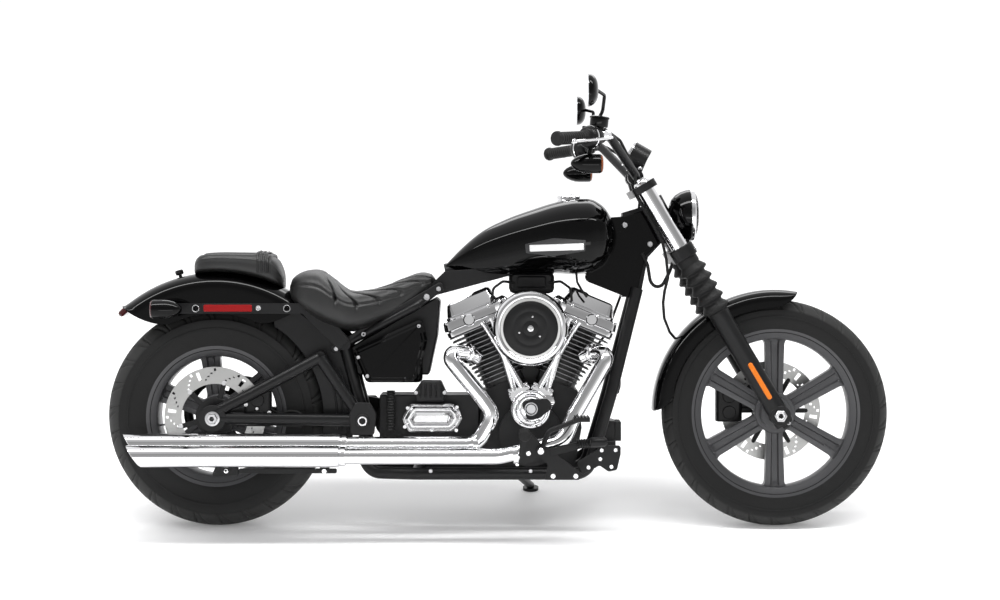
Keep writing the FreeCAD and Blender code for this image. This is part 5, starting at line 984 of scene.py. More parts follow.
def pierced(hub, outer, inner, holes, low, high, around=240):
    """A flat ring with openings: rows of cells between radii, and the cells inside a hole are left out, with
    their rims closed. A hole is (radius, degrees, half length out, half length round)."""
    radii = np.linspace(inner, outer, DISC_CELLS + 1)
    angle = angles_round(around)
    x = hub[0] + radii[:, None] * np.cos(angle)
    z = hub[2] + radii[:, None] * np.sin(angle)
    points = np.stack([np.stack((x, np.full(x.shape, hub[1] + y), z), -1) for y in (low, high)])
    middle_radius = (radii[:-1, None] + radii[1:, None]) / 2
    middle_degrees = np.degrees(angle + math.pi / around)[None]
    kept = np.ones((DISC_CELLS, around), bool)
    for at_radius, at_degrees, half_out, half_round in holes:
        off = (middle_degrees - at_degrees + 180) % 360 - 180
        kept &= ~((np.abs(middle_radius - at_radius) < half_out) & (np.abs(off) < half_round))
    index = np.arange(2 * x.size).reshape(2, *x.shape)
    near, far = np.concatenate((index, index[:, :, :1]), 2)
    row, column = np.nonzero(kept)
    faces = [np.stack((own[row, column], own[row + 1, column], own[row + 1, column + 1],
                       own[row, column + 1]), -1)
             for own in (near, far)]
    framed = np.pad(kept, ((1, 1), (0, 0)))
    row, column = np.nonzero(framed[:-1] != framed[1:])
    walls = np.stack((near[row, column], near[row, column + 1], far[row, column + 1], far[row, column]), -1)
    round_walls = np.where(framed[row, column][:, None], walls, walls[:, ::-1])
    row, column = np.nonzero(kept != np.roll(kept, -1, 1))
    walls = np.stack((near[row, column + 1], near[row + 1, column + 1], far[row + 1, column + 1],
                      far[row, column + 1]), -1)
    out_walls = np.where(kept[row, column][:, None], walls[:, ::-1], walls)
    return points.reshape(-1, 3), np.vstack((faces[0], faces[1][:, ::-1], round_walls, out_walls)), []


def disc_holes(outer, arms=12):
    """Holes in rows that slant with the radius, and a long slot between every second pair of rows."""
    holes = []
    for arm in range(arms):
        base = arm * 360 / arms
        for inwards, turn, half_round in ((8, 0, 1.3), (17, 4.5, 1.5), (27, 9, 1.8), (36, 13.5, 2.0)):
            holes.append((outer - inwards, base + turn, 2.6, half_round))
        if arm % 2 == 0:
            holes.append((outer - 20, base - 8, 12.5, 2.2))
    return holes


def carrier_arms(disc, radius, width, first):
    """Six short flat arms that reach out to the disc's band."""
    return [moved(box((0, 0, 0), (62, 4, width), 1, swung(-degrees)), by=spot(disc, radius, degrees))
            for degrees in range(first, 360 + first, 60)]


def disc_rivets(disc, at_radius, radius, half, first):
    """Six round rivets that hold the band to its arms."""
    return [drum(radius, -half, half, spot(disc, at_radius, degrees), around=14)
            for degrees in range(first, 360 + first, 60)]


DISC_HALF = 2.5
FRONT_DISC = FRONT_HUB + (0, 72, 0)
REAR_DISC = REAR_HUB + (0, -92, 0)
piece("front_disc_band", "front_wheel", disc_steel.material,
      pierced(FRONT_DISC, 147, 101, disc_holes(147), -DISC_HALF, DISC_HALF),
      slot="disc_steel", stands_for="front_brake_disc")
piece("front_disc_carrier", "front_wheel", satin_black,
      hoop(58, 30, -3, 3, FRONT_DISC), drum(30, -12, 3, FRONT_DISC), *carrier_arms(FRONT_DISC, 78, 14, 0),
      *disc_rivets(FRONT_DISC, 104, 6, 3.6, 0), slot="disc_steel")
piece("rear_disc_band", "rear_wheel", disc_steel.material,
      pierced(REAR_DISC, 146, 97, disc_holes(146), -DISC_HALF, DISC_HALF),
      slot="disc_steel", stands_for="rear_brake_disc")
piece("rear_disc_carrier", "rear_wheel", satin_black,
      hoop(56, 34, -3, 3, REAR_DISC), *carrier_arms(REAR_DISC, 76, 15, 15), slot="disc_steel")
piece("rear_disc_rivets", "rear_wheel", satin_metal, *disc_rivets(REAR_DISC, 102, 7, 3.8, 15),
      slot="disc_steel")

# Sprocket and belt
# The belt sprocket at the rear wheel's left is a dark ring with round openings and five bolts, and turns
# with the wheel. The toothed rubber belt that runs round it keeps its CAD form.
SPROCKET = REAR_HUB + (0, 96, 0)
piece("rear_sprocket_face", "rear_wheel", satin_black,
      pierced(SPROCKET, 101, 40, [(76, degrees, 13, 13) for degrees in range(0, 360, 45)], -5, 5),
      hoop(108, 99, -15, 15, SPROCKET, around=96), hoop(60, 13, -15, 15, SPROCKET),
      stands_for="rear_sprocket", slot="satin_black")
piece("rear_sprocket_bolts", "rear_wheel", chrome,
      *[bolt(spot(SPROCKET, 44, degrees, 15), (0, 1, 0), 7, 6) for degrees in range(0, 360, 72)],
      slot="chrome")
softened("drive_belt", rubber_black, 0)

# Fuel tank
# A deep gloss black tank: a teardrop with a soft crease along its side, made as a loft whose sections
# follow the CAD tank's own shares. A blank silver badge plate in a dark frame sits on each side, and a
# chrome cap on top.
TANK_BACK = -147
TANK_LENGTH = 498
TANK_LOW = 730
TANK_HIGH = 229
TANK_HALF = 152
TANK_ROWS = np.array((
    (0.00, 0.17, 0.12, 0.14), (0.08, 0.35, 0.05, 0.30), (0.20, 0.57, 0.00, 0.48), (0.35, 0.74, 0.00, 0.68),
    (0.50, 0.86, 0.03, 0.85), (0.65, 0.96, 0.04, 0.97), (0.78, 1.00, 0.03, 1.00), (0.88, 0.97, 0.08, 0.93),
    (0.95, 0.83, 0.20, 0.76), (0.985, 0.68, 0.34, 0.50), (1.00, 0.58, 0.45, 0.22)))


def smooth_table(rows, shares):
    """The rows of a table, each (share of the length, top, bottom, half width), read at other shares by
    cubic pieces whose slopes come from their neighbours."""
    x = rows[:, 0]
    y = rows[:, 1:]
    slope = np.gradient(y, x, axis=0)
    cell = np.clip(np.searchsorted(x, shares, "right") - 1, 0, len(x) - 2)
    width = (x[cell + 1] - x[cell])[:, None]
    t = (shares[:, None] - x[cell][:, None]) / width
    return ((1 + 2 * t) * (1 - t) ** 2 * y[cell] + t * (1 - t) ** 2 * slope[cell] * width
            + t * t * (3 - 2 * t) * y[cell + 1] + t * t * (t - 1) * slope[cell + 1] * width)


def tank_sections(shares):
    """The middle, half height and half width of the tank at shares of its length."""
    top, bottom, wide = smooth_table(TANK_ROWS, shares).T
    return TANK_LOW + TANK_HIGH * (top + bottom) / 2, TANK_HIGH * (top - bottom) / 2, TANK_HALF * wide


def crease(height):
    """What the tank's width is multiplied by: it leans in above the crease, and a soft bump runs along
    it."""
    above = height - 0.42
    return 1 - 0.10 * np.clip(above, 0, 1) ** 0.9 + 0.012 * np.exp(-(above / 0.10) ** 2)


def soft_square(around, power):
    """A superellipse of unit size: sine and cosine of the angle, each to a power with its sign kept."""
    angle = angles_round(around)
    return tuple(np.sign(wave) * np.abs(wave) ** power for wave in (np.cos(angle), np.sin(angle)))


def tank_surface(steps=120, around=112):
    """Sections along X, each a superellipse about its own middle, whose width follows the crease."""
    shares = 1 - (1 - np.linspace(0, 1, steps)) ** 1.15
    middle, half_z, half_y = (values[:, None] for values in tank_sections(shares))
    y, z = soft_square(around, 0.8)
    x = np.broadcast_to((TANK_BACK + TANK_LENGTH * shares)[:, None], (steps, around))
    return grid(np.stack((x, half_y * y * crease(z), middle + half_z * z), -1))


piece("tank_shell", "chassis", gloss_black, tank_surface(), stands_for="fuel_tank", slot="paint_black",
      sharp=60)


def tank_side(x, z):
    """How far the tank's skin is from the middle plane at an X and a Z: the superellipse read the other
    way."""
    middle, half_z, half_y = tank_sections((x - TANK_BACK) / TANK_LENGTH)
    height = np.clip((z - middle) / half_z, -1, 1)
    return half_y * (1 - np.abs(height) ** 2.5) ** 0.4 * crease(height)


def badge(outline, depth, side, bulge=0.0):
    """A thin plate against the tank's side: rings that shrink to its middle, each lifted off the skin."""
    middle = outline.mean(0)
    rings = []
    for scale, lift in ((1.0, -4.0), (1.0, depth * 0.6), (0.985, depth), (0.5, depth + bulge),
                        (0.02, depth + bulge)):
        x, z = (middle + (outline - middle) * scale).T
        rings.append(np.column_stack((x, side * (tank_side(x, z) + lift), z)))
    return grid(rings)


def fine(outline, step=6.0):
    """A closed outline with points added along its long sides."""
    made = []
    for start, end in zip(outline, np.roll(outline, -1, 0)):
        count = max(1, int(np.linalg.norm(end - start) / step))
        made += [start + (end - start) * share for share in np.arange(count) / count]
    return np.array(made)


frame_line = fine(corners_cut([(82, 826), (164, 843), (256, 837), (254, 805), (164, 791), (84, 800)], 3, 4))
plate_line = fine(corners_cut([(94, 823), (250, 828), (251, 809), (95, 804)], 2, 4))
badge_silver = finish("badge_silver", (0.78, 0.78, 0.78), 0.25, 0.4)
badge_dark = finish("badge_dark", (0.02, 0.02, 0.021), 0.3)
piece("badge_frames", "chassis", badge_dark, *[badge(frame_line, 2.4, side) for side in (-1, 1)],
      slot="satin_black")
piece("badge_plates", "chassis", badge_silver, *[badge(plate_line, 4.0, side, 0.6) for side in (-1, 1)],
      slot="chrome")
piece("tank_cap", "chassis", chrome,
      turned([(35, -14), (35, 0), (33.5, 2), (33, 4), (35, 5), (35, 13), (32, 17), (24, 20), (8, 21.5)],
             (212, 0, 951), (0.03, 0, 1), 64), stands_for="filler_cap", slot="chrome")

# Seat
# A dished rider's seat in black grained vinyl: a deep bucket with a raised back, stitched seams along its
# side and channels across the bucket, over a thin base pan. The skin is one numpy surface that replaces
# the CAD seat.
SEAT_BACK = -607
SEAT_LENGTH = 429
SEAT_LOW = 568
SEAT_HIGH = 185
SEAT_HALF = 158
SEAT_CHANNELS = ((0.24, 0.10), (0.31, 0.17), (0.39, 0.24), (0.48, 0.30), (0.58, 0.34), (0.69, 0.34))
SEAT_ROWS = np.array((
    (0.00, 0.80, 0.55, 0.45), (0.06, 0.92, 0.40, 0.70), (0.14, 0.99, 0.26, 0.88), (0.22, 0.98, 0.15, 0.97),
    (0.30, 0.85, 0.08, 1.00), (0.40, 0.68, 0.02, 0.97), (0.52, 0.67, 0.03, 0.84), (0.65, 0.74, 0.14, 0.68),
    (0.78, 0.86, 0.26, 0.56), (0.92, 0.95, 0.50, 0.46), (1.00, 0.90, 0.72, 0.34)))
vinyl = Bench("seat_vinyl", Base_Color=(0.0085, 0.0085, 0.0085), Roughness=0.40, Specular_IOR_Level=0.5)
vinyl.bumped(vinyl.noise(520, 3.0), 0.0006)


def sunk(distance, width):
    """How much of a seam's depth is left at a distance from its line: a round-bottomed groove."""
    return np.exp(-(distance / width) ** 2)


def seat_surface(steps=190, around=120):
    """Sections along X, each a superellipse. A seam is sunk along the side at a share of the height, and
    channels cross the bucket at a share of the length that grows with a power of the distance aside."""
    shares = np.linspace(0, 1, steps)[:, None]
    top, bottom, wide = smooth_table(SEAT_ROWS, shares[:, 0]).T[..., None]
    ends = np.clip(np.minimum(shares, 1 - shares) / 0.03, 0.02, 1) ** 0.45
    middle = SEAT_LOW + SEAT_HIGH * (top + bottom) / 2
    half_z = SEAT_HIGH * (top - bottom) / 2 * ends
    half_y = SEAT_HALF * wide * ends
    y, z = soft_square(around, 0.67)
    grow = 1 - 0.028 * sunk(z - (0.30 + 0.10 * np.sin(shares * 5)), 0.05) * (np.abs(y) > 0.5)
    on_top = np.clip((z - 0.12) / 0.25, 0, 1) ** 0.7
    for line, bend in SEAT_CHANNELS:
        grow = grow - 0.075 * sunk(shares - line - bend * np.abs(y) ** 2.2, 0.009) * on_top
    x = np.broadcast_to(SEAT_BACK + SEAT_LENGTH * shares, grow.shape)
    return grid(np.stack((x, half_y * y * grow, middle + half_z * z * np.where(z > 0, grow, 1)), -1))


seat_skin = piece("seat_skin", "chassis", vinyl.material, seat_surface(), stands_for="seat",
                  slot="seat_vinyl", sharp=75)

# Pillion pad
# A small square pad in the same vinyl on the mudguard, with a piped rim, a stitched middle panel and a grab
# strap across its front. It replaces the CAD pad.
PAD_BACK = -883
PAD_LENGTH = 261
PAD_HALF = 98
PAD_TOP = np.array([(-883, 760), (-880, 776), (-868, 792), (-846, 801), (-800, 803.5), (-690, 802),
                    (-668, 799), (-648, 788), (-634, 768), (-624, 738), (-622, 722)])
REAR_GUARD = 420


def pad_top(x):
    """The height of the pad along its middle, read off a line of chosen points."""
    return np.interp(x, *PAD_TOP.T)


def pad_surface(steps=110, around=100):
    """A cushion on the mudguard's curve: a superellipse section between the guard and the top line, with a
    piped seam below the top edge and a sunk line round the middle panel."""
    shares = (1 - np.cos(np.linspace(0.08, math.pi - 0.08, steps))) / 2
    x = PAD_BACK + PAD_LENGTH * shares
    high = np.convolve(np.pad(pad_top(x), 4, mode="edge"), np.ones(9) / 9, mode="valid")
    low = REAR_HUB[2] + np.sqrt((REAR_GUARD + 1.0) ** 2 - (x - REAR_HUB[0]) ** 2) - 1.5
    wide = PAD_HALF * np.clip(1 - np.abs(2 * shares - 1) ** 5, 0.02, 1) ** 0.28
    y, z = soft_square(around, 0.5)
    grow = 1 + 0.022 * sunk(z - 0.38, 0.07) - 0.02 * sunk(z - 0.20, 0.06)
    panel = np.maximum(np.abs(y), np.abs(shares[:, None] - 0.5) * 2)
    dip = 3.5 * sunk(panel - 0.78, 0.03) * (z > 0.5)
    height = (high + low)[:, None] / 2 + (high - low)[:, None] / 2 * z
    return grid(np.stack((np.broadcast_to(x[:, None], dip.shape), wide[:, None] * y * grow, height - dip),
                         -1))


pillion_cushion = piece("pillion_cushion", "chassis", vinyl.material, pad_surface(), stands_for="pillion_pad",
                        slot="seat_vinyl", sharp=75)
strands = []
for x in (-692, -680, -668, -656):
    reach = PAD_HALF * 0.985
    top = pad_top(x)
    over = [(x, -reach, 742), (x, -reach, top - 22), (x, 16 - reach, top - 1), (x, 0, top + 3),
            (x, reach - 16, top - 1), (x, reach, top - 22), (x, reach, 742)]
    strands.append(pipe(over, 3.6, [0, 18, 18, 90, 18, 18, 0], 12))
piece("grab_strap", "chassis", vinyl.material, *strands, slot="seat_vinyl")

# Mudguards
# Gloss black pressed mudguards: a domed crown that turns down into a skirt, rounded off at both tips. Each
# is one numpy sheet with thickness, in place of the CAD one. The front one moves with the fork on two
# small ears.


def guard_sheet(hub, radius, half, depth, shoulder, thick, start, end, tips):
    """An arch about the hub: the section is a dome as a superellipse between two straight skirts, offset
    inwards for the thickness. The skirts' depth, and then the dome's, shrink round each tip as part of an
    ellipse."""
    degrees = np.linspace(start, end, 190)[:, None]
    near = np.minimum(np.clip((degrees - start) / tips[0], 0, 1), np.clip((end - degrees) / tips[1], 0, 1))
    least = (thick + 1.5) / depth
    deep = depth * (least + (1 - least) * (1 - (1 - near) ** 2.2) ** 0.62)
    dome = np.minimum(shoulder, deep * 0.7)
    bow = np.linspace(-math.pi / 2, math.pi / 2, 45)
    dome_y = np.sign(np.sin(bow)) * np.abs(np.sin(bow)) ** 0.72
    dome_rise = np.abs(np.cos(bow)) ** 0.85
    skirt = np.linspace(1, 0, 8)[:-1]
    skirt_reach = (radius - deep) * skirt + (radius - dome) * (1 - skirt)
    y = []
    reach = []
    for cut, turn in ((0.0, 1), (thick, -1)):
        crown_reach = (radius - dome) + (dome - np.minimum(cut, dome * 0.6)) * dome_rise
        skin = np.concatenate((skirt_reach, crown_reach, skirt_reach[:, ::-1]), 1)
        reach.append(skin[:, ::turn])
        y.append((np.concatenate((-np.ones(7), dome_y, np.ones(7))) * (half - cut))[::turn])
    reach = np.concatenate(reach, 1)
    y = np.broadcast_to(np.concatenate(y), reach.shape)
    angle = np.radians(degrees)
    return grid(np.stack((hub[0] + reach * np.cos(angle), hub[1] + y, hub[2] + reach * np.sin(angle)), -1))


LEG_LEAN = 30.7
LEG_WAY = np.array((-math.sin(math.radians(LEG_LEAN)), 0, math.cos(math.radians(LEG_LEAN))))
piece("front_guard_sheet", "fork", gloss_black,
      guard_sheet(FRONT_HUB, radius=361, half=66, depth=52, shoulder=34, thick=3, start=80.5, end=178.5,
                  tips=(13, 9)),
      *[drum(10, 64, 86, FRONT_HUB + LEG_WAY * 322, (0, side, 0), 2, 20) for side in (-1, 1)],
      stands_for="front_mudguard", slot="paint_black", sharp=50)
piece("rear_guard_sheet", "chassis", gloss_black,
      guard_sheet(REAR_HUB, radius=REAR_GUARD, half=98, depth=120, shoulder=46, thick=3, start=52, end=130,
                  tips=(16, 17)),
      stands_for="rear_mudguard", slot="paint_black", sharp=50)
piece("pad_knob", "chassis", satin_black,
      turned([(5, -3), (5, 8), (10.5, 9), (12, 11), (12, 20), (10, 22.5), (4, 23)],
             (-928, 0, 728), (-0.27, 0, 0.96), 28), slot="satin_black")

# Mudguard struts
# Black struts bolt to the sides of the rear mudguard and run down to the frame. Each carries a dark red
# reflector, and its two open bolt holes have bright rims, where a rack would dock.
softened("mudguard_struts", satin_black, 2.5)
STRUT_FACE = 112.4
piece("strut_rims", "chassis", bright_metal,
      *[hoop(10.6, 8.3, 0, 2, (x, STRUT_FACE * side, 640), (0, side, 0), 0.6, 32)
        for x in (-868, -605) for side in (-1, 1)],
      *[bolt((-687, STRUT_FACE * side, 641), (0, side, 0), 7.5, 5) for side in (-1, 1)], slot="chrome")
red_lens = finish("red_lens", (0.24, 0.003, 0.004), 0.16, sheen=0.3)
reflector_line = corners_cut([(-845, 631), (-705, 631), (-705, 651), (-845, 651)], 4)
reflector_frame_line = corners_cut([(-850, 627), (-700, 627), (-700, 655), (-850, 655)], 5)
piece("side_reflectors", "chassis", red_lens, *plate_pair(reflector_line, STRUT_FACE, 117, 1.2),
      slot="lens_red")
piece("reflector_frames", "chassis", satin_black, *plate_pair(reflector_frame_line, 112.3, 114.5, 0.8),
      slot="satin_black")

# Tail lamp
# A small tail lamp closes the rear mudguard's end: a dark red moulded lens in a black plastic housing,
# which is bolted to the sheet. It stands across the guard's arch.
smoked_red = finish("smoked_red", (0.045, 0.002, 0.003), 0.12)
piece("tail_lamp_lens", "chassis", smoked_red,
      box(spot(REAR_HUB, 410, 131.8), (18, 78, 38), 5, swung(-131.8)),
      stands_for="tail_lamp", slot="lens_red")
piece("tail_lamp_housing", "chassis", satin_black,
      box(spot(REAR_HUB, 409, 130.1), (20, 84, 14), 4, swung(-130)), slot="satin_black")

# Turn signals
# Black bullet turn signals on short stalks, two at the tail with dark red lenses and two under the handlebar
# with amber ones. Each is turned from one profile, and replaces the CAD pair.


def bullet(at, forward):
    """Body and lens of one signal: a tapered nose one way and a shallow domed lens the other way."""
    body = turned([(3, -45), (9, -42), (16, -34), (22, -22), (26, -8), (27, 4), (27, 36), (25.5, 39),
                   (20, 39.5)],
                  at, (forward, 0, 0), 40)
    lens = turned([(24.5, 38), (25, 40), (22, 43.5), (14, 45.4), (5, 46)], at, (forward, 0, 0), 40)
    return body, lens


rear_bodies, rear_lenses = zip(*[bullet((-939, 200 * side, 640), -1) for side in (-1, 1)])
piece("rear_bullets", "chassis", gloss_black, *rear_bodies,
      *[drum(8, 112, 180, (-939, 0, 640), (0, side, 0), 1, 20) for side in (-1, 1)],
      *[drum(13, 112.3, 120, (-939, 0, 640), (0, side, 0), 2, 24) for side in (-1, 1)],
      stands_for="rear_signals", slot="satin_black")
piece("rear_bullet_lenses", "chassis", smoked_red, *rear_lenses, slot="lens_red")
amber = finish("amber_lens", (0.20, 0.045, 0.004), 0.15, sheen=0.3)
front_bodies, front_lenses = zip(*[bullet((251, 330 * side, 1048), 1) for side in (-1, 1)])
piece("front_bullets", "fork", gloss_black, *front_bodies,
      *[pipe([(252, 326 * side, 1052), (262, 322 * side, 1092)], 7, 5, 18) for side in (-1, 1)],
      stands_for="front_signals", slot="satin_black")
piece("front_bullet_lenses", "fork", amber, *front_lenses, slot="lens_red")

# Side covers
# Gloss black side covers under the seat, domed, with a raised rim and two bright screws, over the oil tank
# between them. A ribbed black breather hose runs down behind the right one.
cover_line = corners_cut([(-374, 427), (-228, 427), (-200, 550), (-214, 612), (-412, 522), (-412, 490)],
                         [16, 16, 20, 16, 14, 14])
piece("side_cover_panels", "chassis", gloss_black, *plate_pair(cover_line, 76, 122, 7),
      *plate_pair(inset(cover_line, 12), 112, 126, 4), box((-272.5, 0, 492), (115, 151, 136), 8),
      stands_for="oil_tank", slot="paint_black")
battery_line = corners_cut([(-424, 446), (-196, 446), (-172, 560), (-164, 660), (-176, 672), (-438, 520)], 8)
piece("battery_tray", "chassis", satin_black, plate(battery_line, -66, 66, 5), slot="satin_black")
piece("side_cover_screws", "chassis", satin_metal,
      *[bolt((x, 122 * side, z), (0, side, 0), 6, 6)
        for side in (-1, 1) for x, z in ((-398, 500), (-372, 446), (-224, 590))], slot="chrome")
ribs = [(13.5 if number % 2 else 10.5, 4.0 * number) for number in range(30)]
piece("breather_hose", "chassis", rubber_black, turned(ribs, (-306, -92, 286), (0, 0, 1), 28), slot="rubber")

# Fork
# Bright fork tubes between satin black clamps, ribbed rubber boots and black sliders with an orange
# reflector at the side of each. The boots and sliders are turned along the legs. They replace the CAD
# pieces.
LEG_TURN = swung(-LEG_LEAN)


def on_leg(along, side, offset=(0, 0, 0)):
    """A point on a fork leg, at a distance up from the axle, with an offset across it."""
    return FRONT_HUB + LEG_WAY * along + (0, 115 * side, 0) + LEG_TURN @ np.asarray(offset, float)


softened("fork_tubes", chrome, 0.6)
BOOT_FOLDS = 5
boot_line = [(30.5, 344), (31.5, 347)]
for number in range(BOOT_FOLDS):
    low = 347 + 31.6 * number
    boot_line += [(30, low + 1), (31, low + 3), (38.5, low + 7), (41, low + 9), (41.4, low + 12),
                  (40.6, low + 15), (35, low + 22.5), (31, low + 28), (30, low + 30)]
boot_line += [(30, 506), (31.5, 508), (31.5, 526), (26, 527)]
SLIDER_LINE = [(20, -32), (27, -30), (29.5, -22), (29.5, 306), (30.6, 310), (30.6, 346), (26, 350)]
CAP_LINE = [(24.5, 0), (24.5, 7), (21, 12), (14, 14), (13, 14), (13, 19), (6, 20)]
reflector_line_up = corners_cut([(-7, -60), (7, -60), (7, 60), (-7, 60)], 6.5, 8)
boots = []
sliders = []
caps = []
reflectors = []
for side in (-1, 1):
    boots.append(turned(boot_line, on_leg(0, side), LEG_WAY, 48))
    sliders.append(turned(SLIDER_LINE, on_leg(0, side), LEG_WAY, 48))
    sliders.append(hoop(29.5, 12.6, 86, 144, FRONT_HUB, (0, side, 0), 2, 48))
    sliders.append(box(on_leg(-24, side), (22, 40, 34), 4, LEG_TURN))
    caps.append(turned(CAP_LINE, on_leg(772, side), LEG_WAY, 40))
    lens = plate(reflector_line_up, *sorted((28.5 * side, 34 * side)), 1.6, LEG_TURN)
    reflectors.append(moved(lens, by=on_leg(117, side)))
piece("fork_gaiters", "fork", rubber_black, *boots, stands_for="fork_boots", slot="rubber", sharp=60)
caliper_ear = box((722, 95, 356), (70, 17, 48), 3)
piece("fork_lowers", "fork", satin_black, *sliders, caliper_ear, stands_for="fork_sliders",
      slot="satin_black")
piece("fork_caps", "fork", bright_metal, *caps, slot="chrome")
orange = finish("orange_reflector", (0.68, 0.165, 0.006), 0.3, sheen=0.3)
piece("fork_reflectors", "fork", orange, *reflectors, slot="lens_red")
softened("front_axle", bright_metal, 0.6)
AXLE_NUT = [(12.8, 0), (17, 0.5), (18, 3), (18, 8), (15, 11), (12.8, 11.5)]
piece("front_axle_ends", "fork", satin_metal,
      *[turned(AXLE_NUT, FRONT_HUB + (0, 143.5 * side, 0), (0, side, 0), 6, ring=True) for side in (-1, 1)],
      *[bolt(on_leg(-30, side, (10, 0, 0)), (0, side, 0), 6, 24) for side in (-1, 1)], slot="chrome")
softened("lower_clamp", satin_black, 4)
softened("upper_clamp", satin_black, 4)
piece("clamp_screws", "fork", chrome,
      *[bolt(on_leg(along, side, (34, -12 * side, 0)), LEG_TURN @ (1, 0, 0), 6, 7)
        for side in (-1, 1) for along in (536.6, 553.4)],
      *[bolt((x, 50 * side, 1044), (0, 0, 1), 6, 7) for side in (-1, 1) for x in (390, 418)], slot="chrome")

# Brake calipers
# Black calipers with two piston bosses, bright bolts and a slot for the disc: the front one behind the
# left leg and the rear one ahead of the axle at the right, on a slotted bracket. The CAD bodies keep their
# form.
softened("front_caliper", satin_black, 5)
softened("rear_caliper", satin_black, 5)
PISTONS_Z = (328, 376)
piece("front_caliper_parts", "fork", satin_black,
      *[drum(20, low, high, (689, 0, z), (0, 1, 0), 2, 32) for low, high in ((93, 99), (46, 51))
        for z in PISTONS_Z],
      slot="satin_black")
caliper_arm = corners_cut([(-722, 308), (-700, 306), (-560, 296), (-560, 312), (-690, 340), (-724, 340)], 6)
piece("rear_caliper_parts", "chassis", satin_black,
      *[drum(20, 113, 119, (-690, 0, z), (0, -1, 0), 2, 32) for z in PISTONS_Z],
      plate(caliper_arm, -112, -104, 2), slot="satin_black")
piece("caliper_bolts", "fork", chrome,
      *[bolt((x, 94, z), (0, 1, 0), 6.5, 6) for x, z in ((660, 392), (660, 312), (718, 392))], slot="chrome")
piece("rear_caliper_bolts", "chassis", chrome, bolt((-722, -114, 364), (0, -1, 0), 7, 7),
      bolt((-655, -114, 340), (0, -1, 0), 7, 7), bolt((-690, -119, 352), (0, -1, 0), 5, 4), slot="chrome")

# Headlamp
# A round headlamp on a bracket between the fork tubes: a black turned bucket, a chrome ring and a clear
# domed lens over a bright bowl. It replaces the CAD bucket and lens.
LAMP = np.array((568.0, 0.0, 912.0))
piece("headlamp_bucket", "fork", gloss_black,
      turned([(8, -64), (28, -62), (44, -56), (58, -44), (67, -29), (72.5, -12), (74, -1), (73.8, 4), (70, 6),
              (60, 6)], LAMP, (1, 0, 0), 80),
      box((560, 0, 840), (12, 36, 44), 3), stands_for="headlamp", slot="paint_black")
piece("headlamp_ring", "fork", chrome,
      turned([(73, -2), (76, 0), (77, 5), (76, 10), (71, 13), (68, 12), (67, 8), (67, -2)], LAMP,
             (1, 0, 0), 96, ring=True), slot="chrome")
glass = Bench("lens_glass", Base_Color=(0.93, 0.95, 0.96), Roughness=0.02, Transmission_Weight=1.0, IOR=1.3)
piece("headlamp_bowl", "fork", chrome,
      turned([(67, 6), (66, 5.5), (52, -6), (34, -16), (16, -20), (14, -8), (10, -2), (4, 0)], LAMP,
             (1, 0, 0), 72),
      slot="chrome")
piece("headlamp_glass", "fork", glass.material,
      turned([(67.5, 8), (67, 11), (62, 16.5), (48, 21.5), (28, 24.4), (6, 25)], LAMP, (1, 0, 0), 72),
      stands_for="headlamp_lens", slot="lens_clear")

# Instrument
# One round instrument in front of the bar, tilted to the rider: a black can, a bright bezel and a dark
# dial with plain pale marks and a needle. It is screwed to the upper clamp.
GAUGE_TURN = swung(-60)
GAUGE_WAY = GAUGE_TURN @ (0, 0, 1)
GAUGE_FACE = np.array((436.0, 0.0, 1066.0)) + GAUGE_WAY * 54
MARK_STEP = 22.5
softened("instrument", satin_black, 2.5)
piece("gauge_bezel", "fork", chrome, hoop(40.6, 35, -3, 3.5, GAUGE_FACE, GAUGE_WAY, 1.2, 72), slot="chrome")
marks = []
for number in range(-2, 11):
    turn = GAUGE_TURN @ swung(number * MARK_STEP, "z")
    length = 6 if number % 2 else 9
    marks.append(box(GAUGE_FACE + GAUGE_WAY * 0.9 + turn @ (29, 0, 0), (length, 1.2, 0.6), 0.2, turn))
needle = moved(box((12, 0, 0), (30, 1.6, 0.8), 0.3), GAUGE_TURN @ swung(200, "z"),
               GAUGE_FACE + GAUGE_WAY * 1.4)
pale_marks = finish("pale_marks", (0.75, 0.75, 0.73), 0.5)
piece("gauge_marks", "fork", pale_marks, *marks, needle, slot="satin_black")

# Handlebar
# A wide bar bent from one steel tube, painted black and swept back to the rider, in two risers on the
# upper clamp. Ribbed rubber grips are pushed over its ends.
BAR_END = np.array((163.0, -430.0, 1112.0))
BAR_BEND = np.array((318.0, -262.0, 1128.0))
BAR_CLAMP = np.array((404.0, -95.0, 1021.0))
OTHER_SIDE = np.array((1, -1, 1))
bar_corners = [BAR_END, BAR_BEND, BAR_CLAMP, BAR_CLAMP * OTHER_SIDE, BAR_BEND * OTHER_SIDE,
               BAR_END * OTHER_SIDE]
risers = [turned([(10, -24), (18, -23), (19, -20), (19, 26), (16, 28), (10, 28)], (409, 50 * side, 1001),
                 (-0.28, 0, 0.96), 40) for side in (-1, 1)]
riser_caps = [drum(23, *sorted((30 * side, 70 * side)), (404, 0, 1021), (0, 1, 0), 3, 44) for side in (-1, 1)]
piece("bar_tube", "fork", satin_black, pipe(bar_corners, 12.7, 55, 28, steps=10), *risers, *riser_caps,
      stands_for="handlebar", slot="satin_black")
GRIP_WAY = (BAR_BEND - BAR_END) / np.linalg.norm(BAR_BEND - BAR_END)
grip_line = [(14, -3), (19, -2), (20.5, 2), (20.5, 8), (18, 10)]
for low in range(14, 105, 9):
    grip_line += [(18, low), (16.8, low + 1.5), (16.8, low + 3.5), (18, low + 5)]
grip_line += [(18, 120), (20.5, 122), (20.5, 130), (14, 131)]
right_grip = turned(grip_line, BAR_END, GRIP_WAY, 36)


def mirrored(shell):
    """The same shell on the other side of the machine, faces still outwards."""
    points, quads, ends = shell
    return points * (1, -1, 1), quads[:, ::-1], [end[::-1] for end in ends]


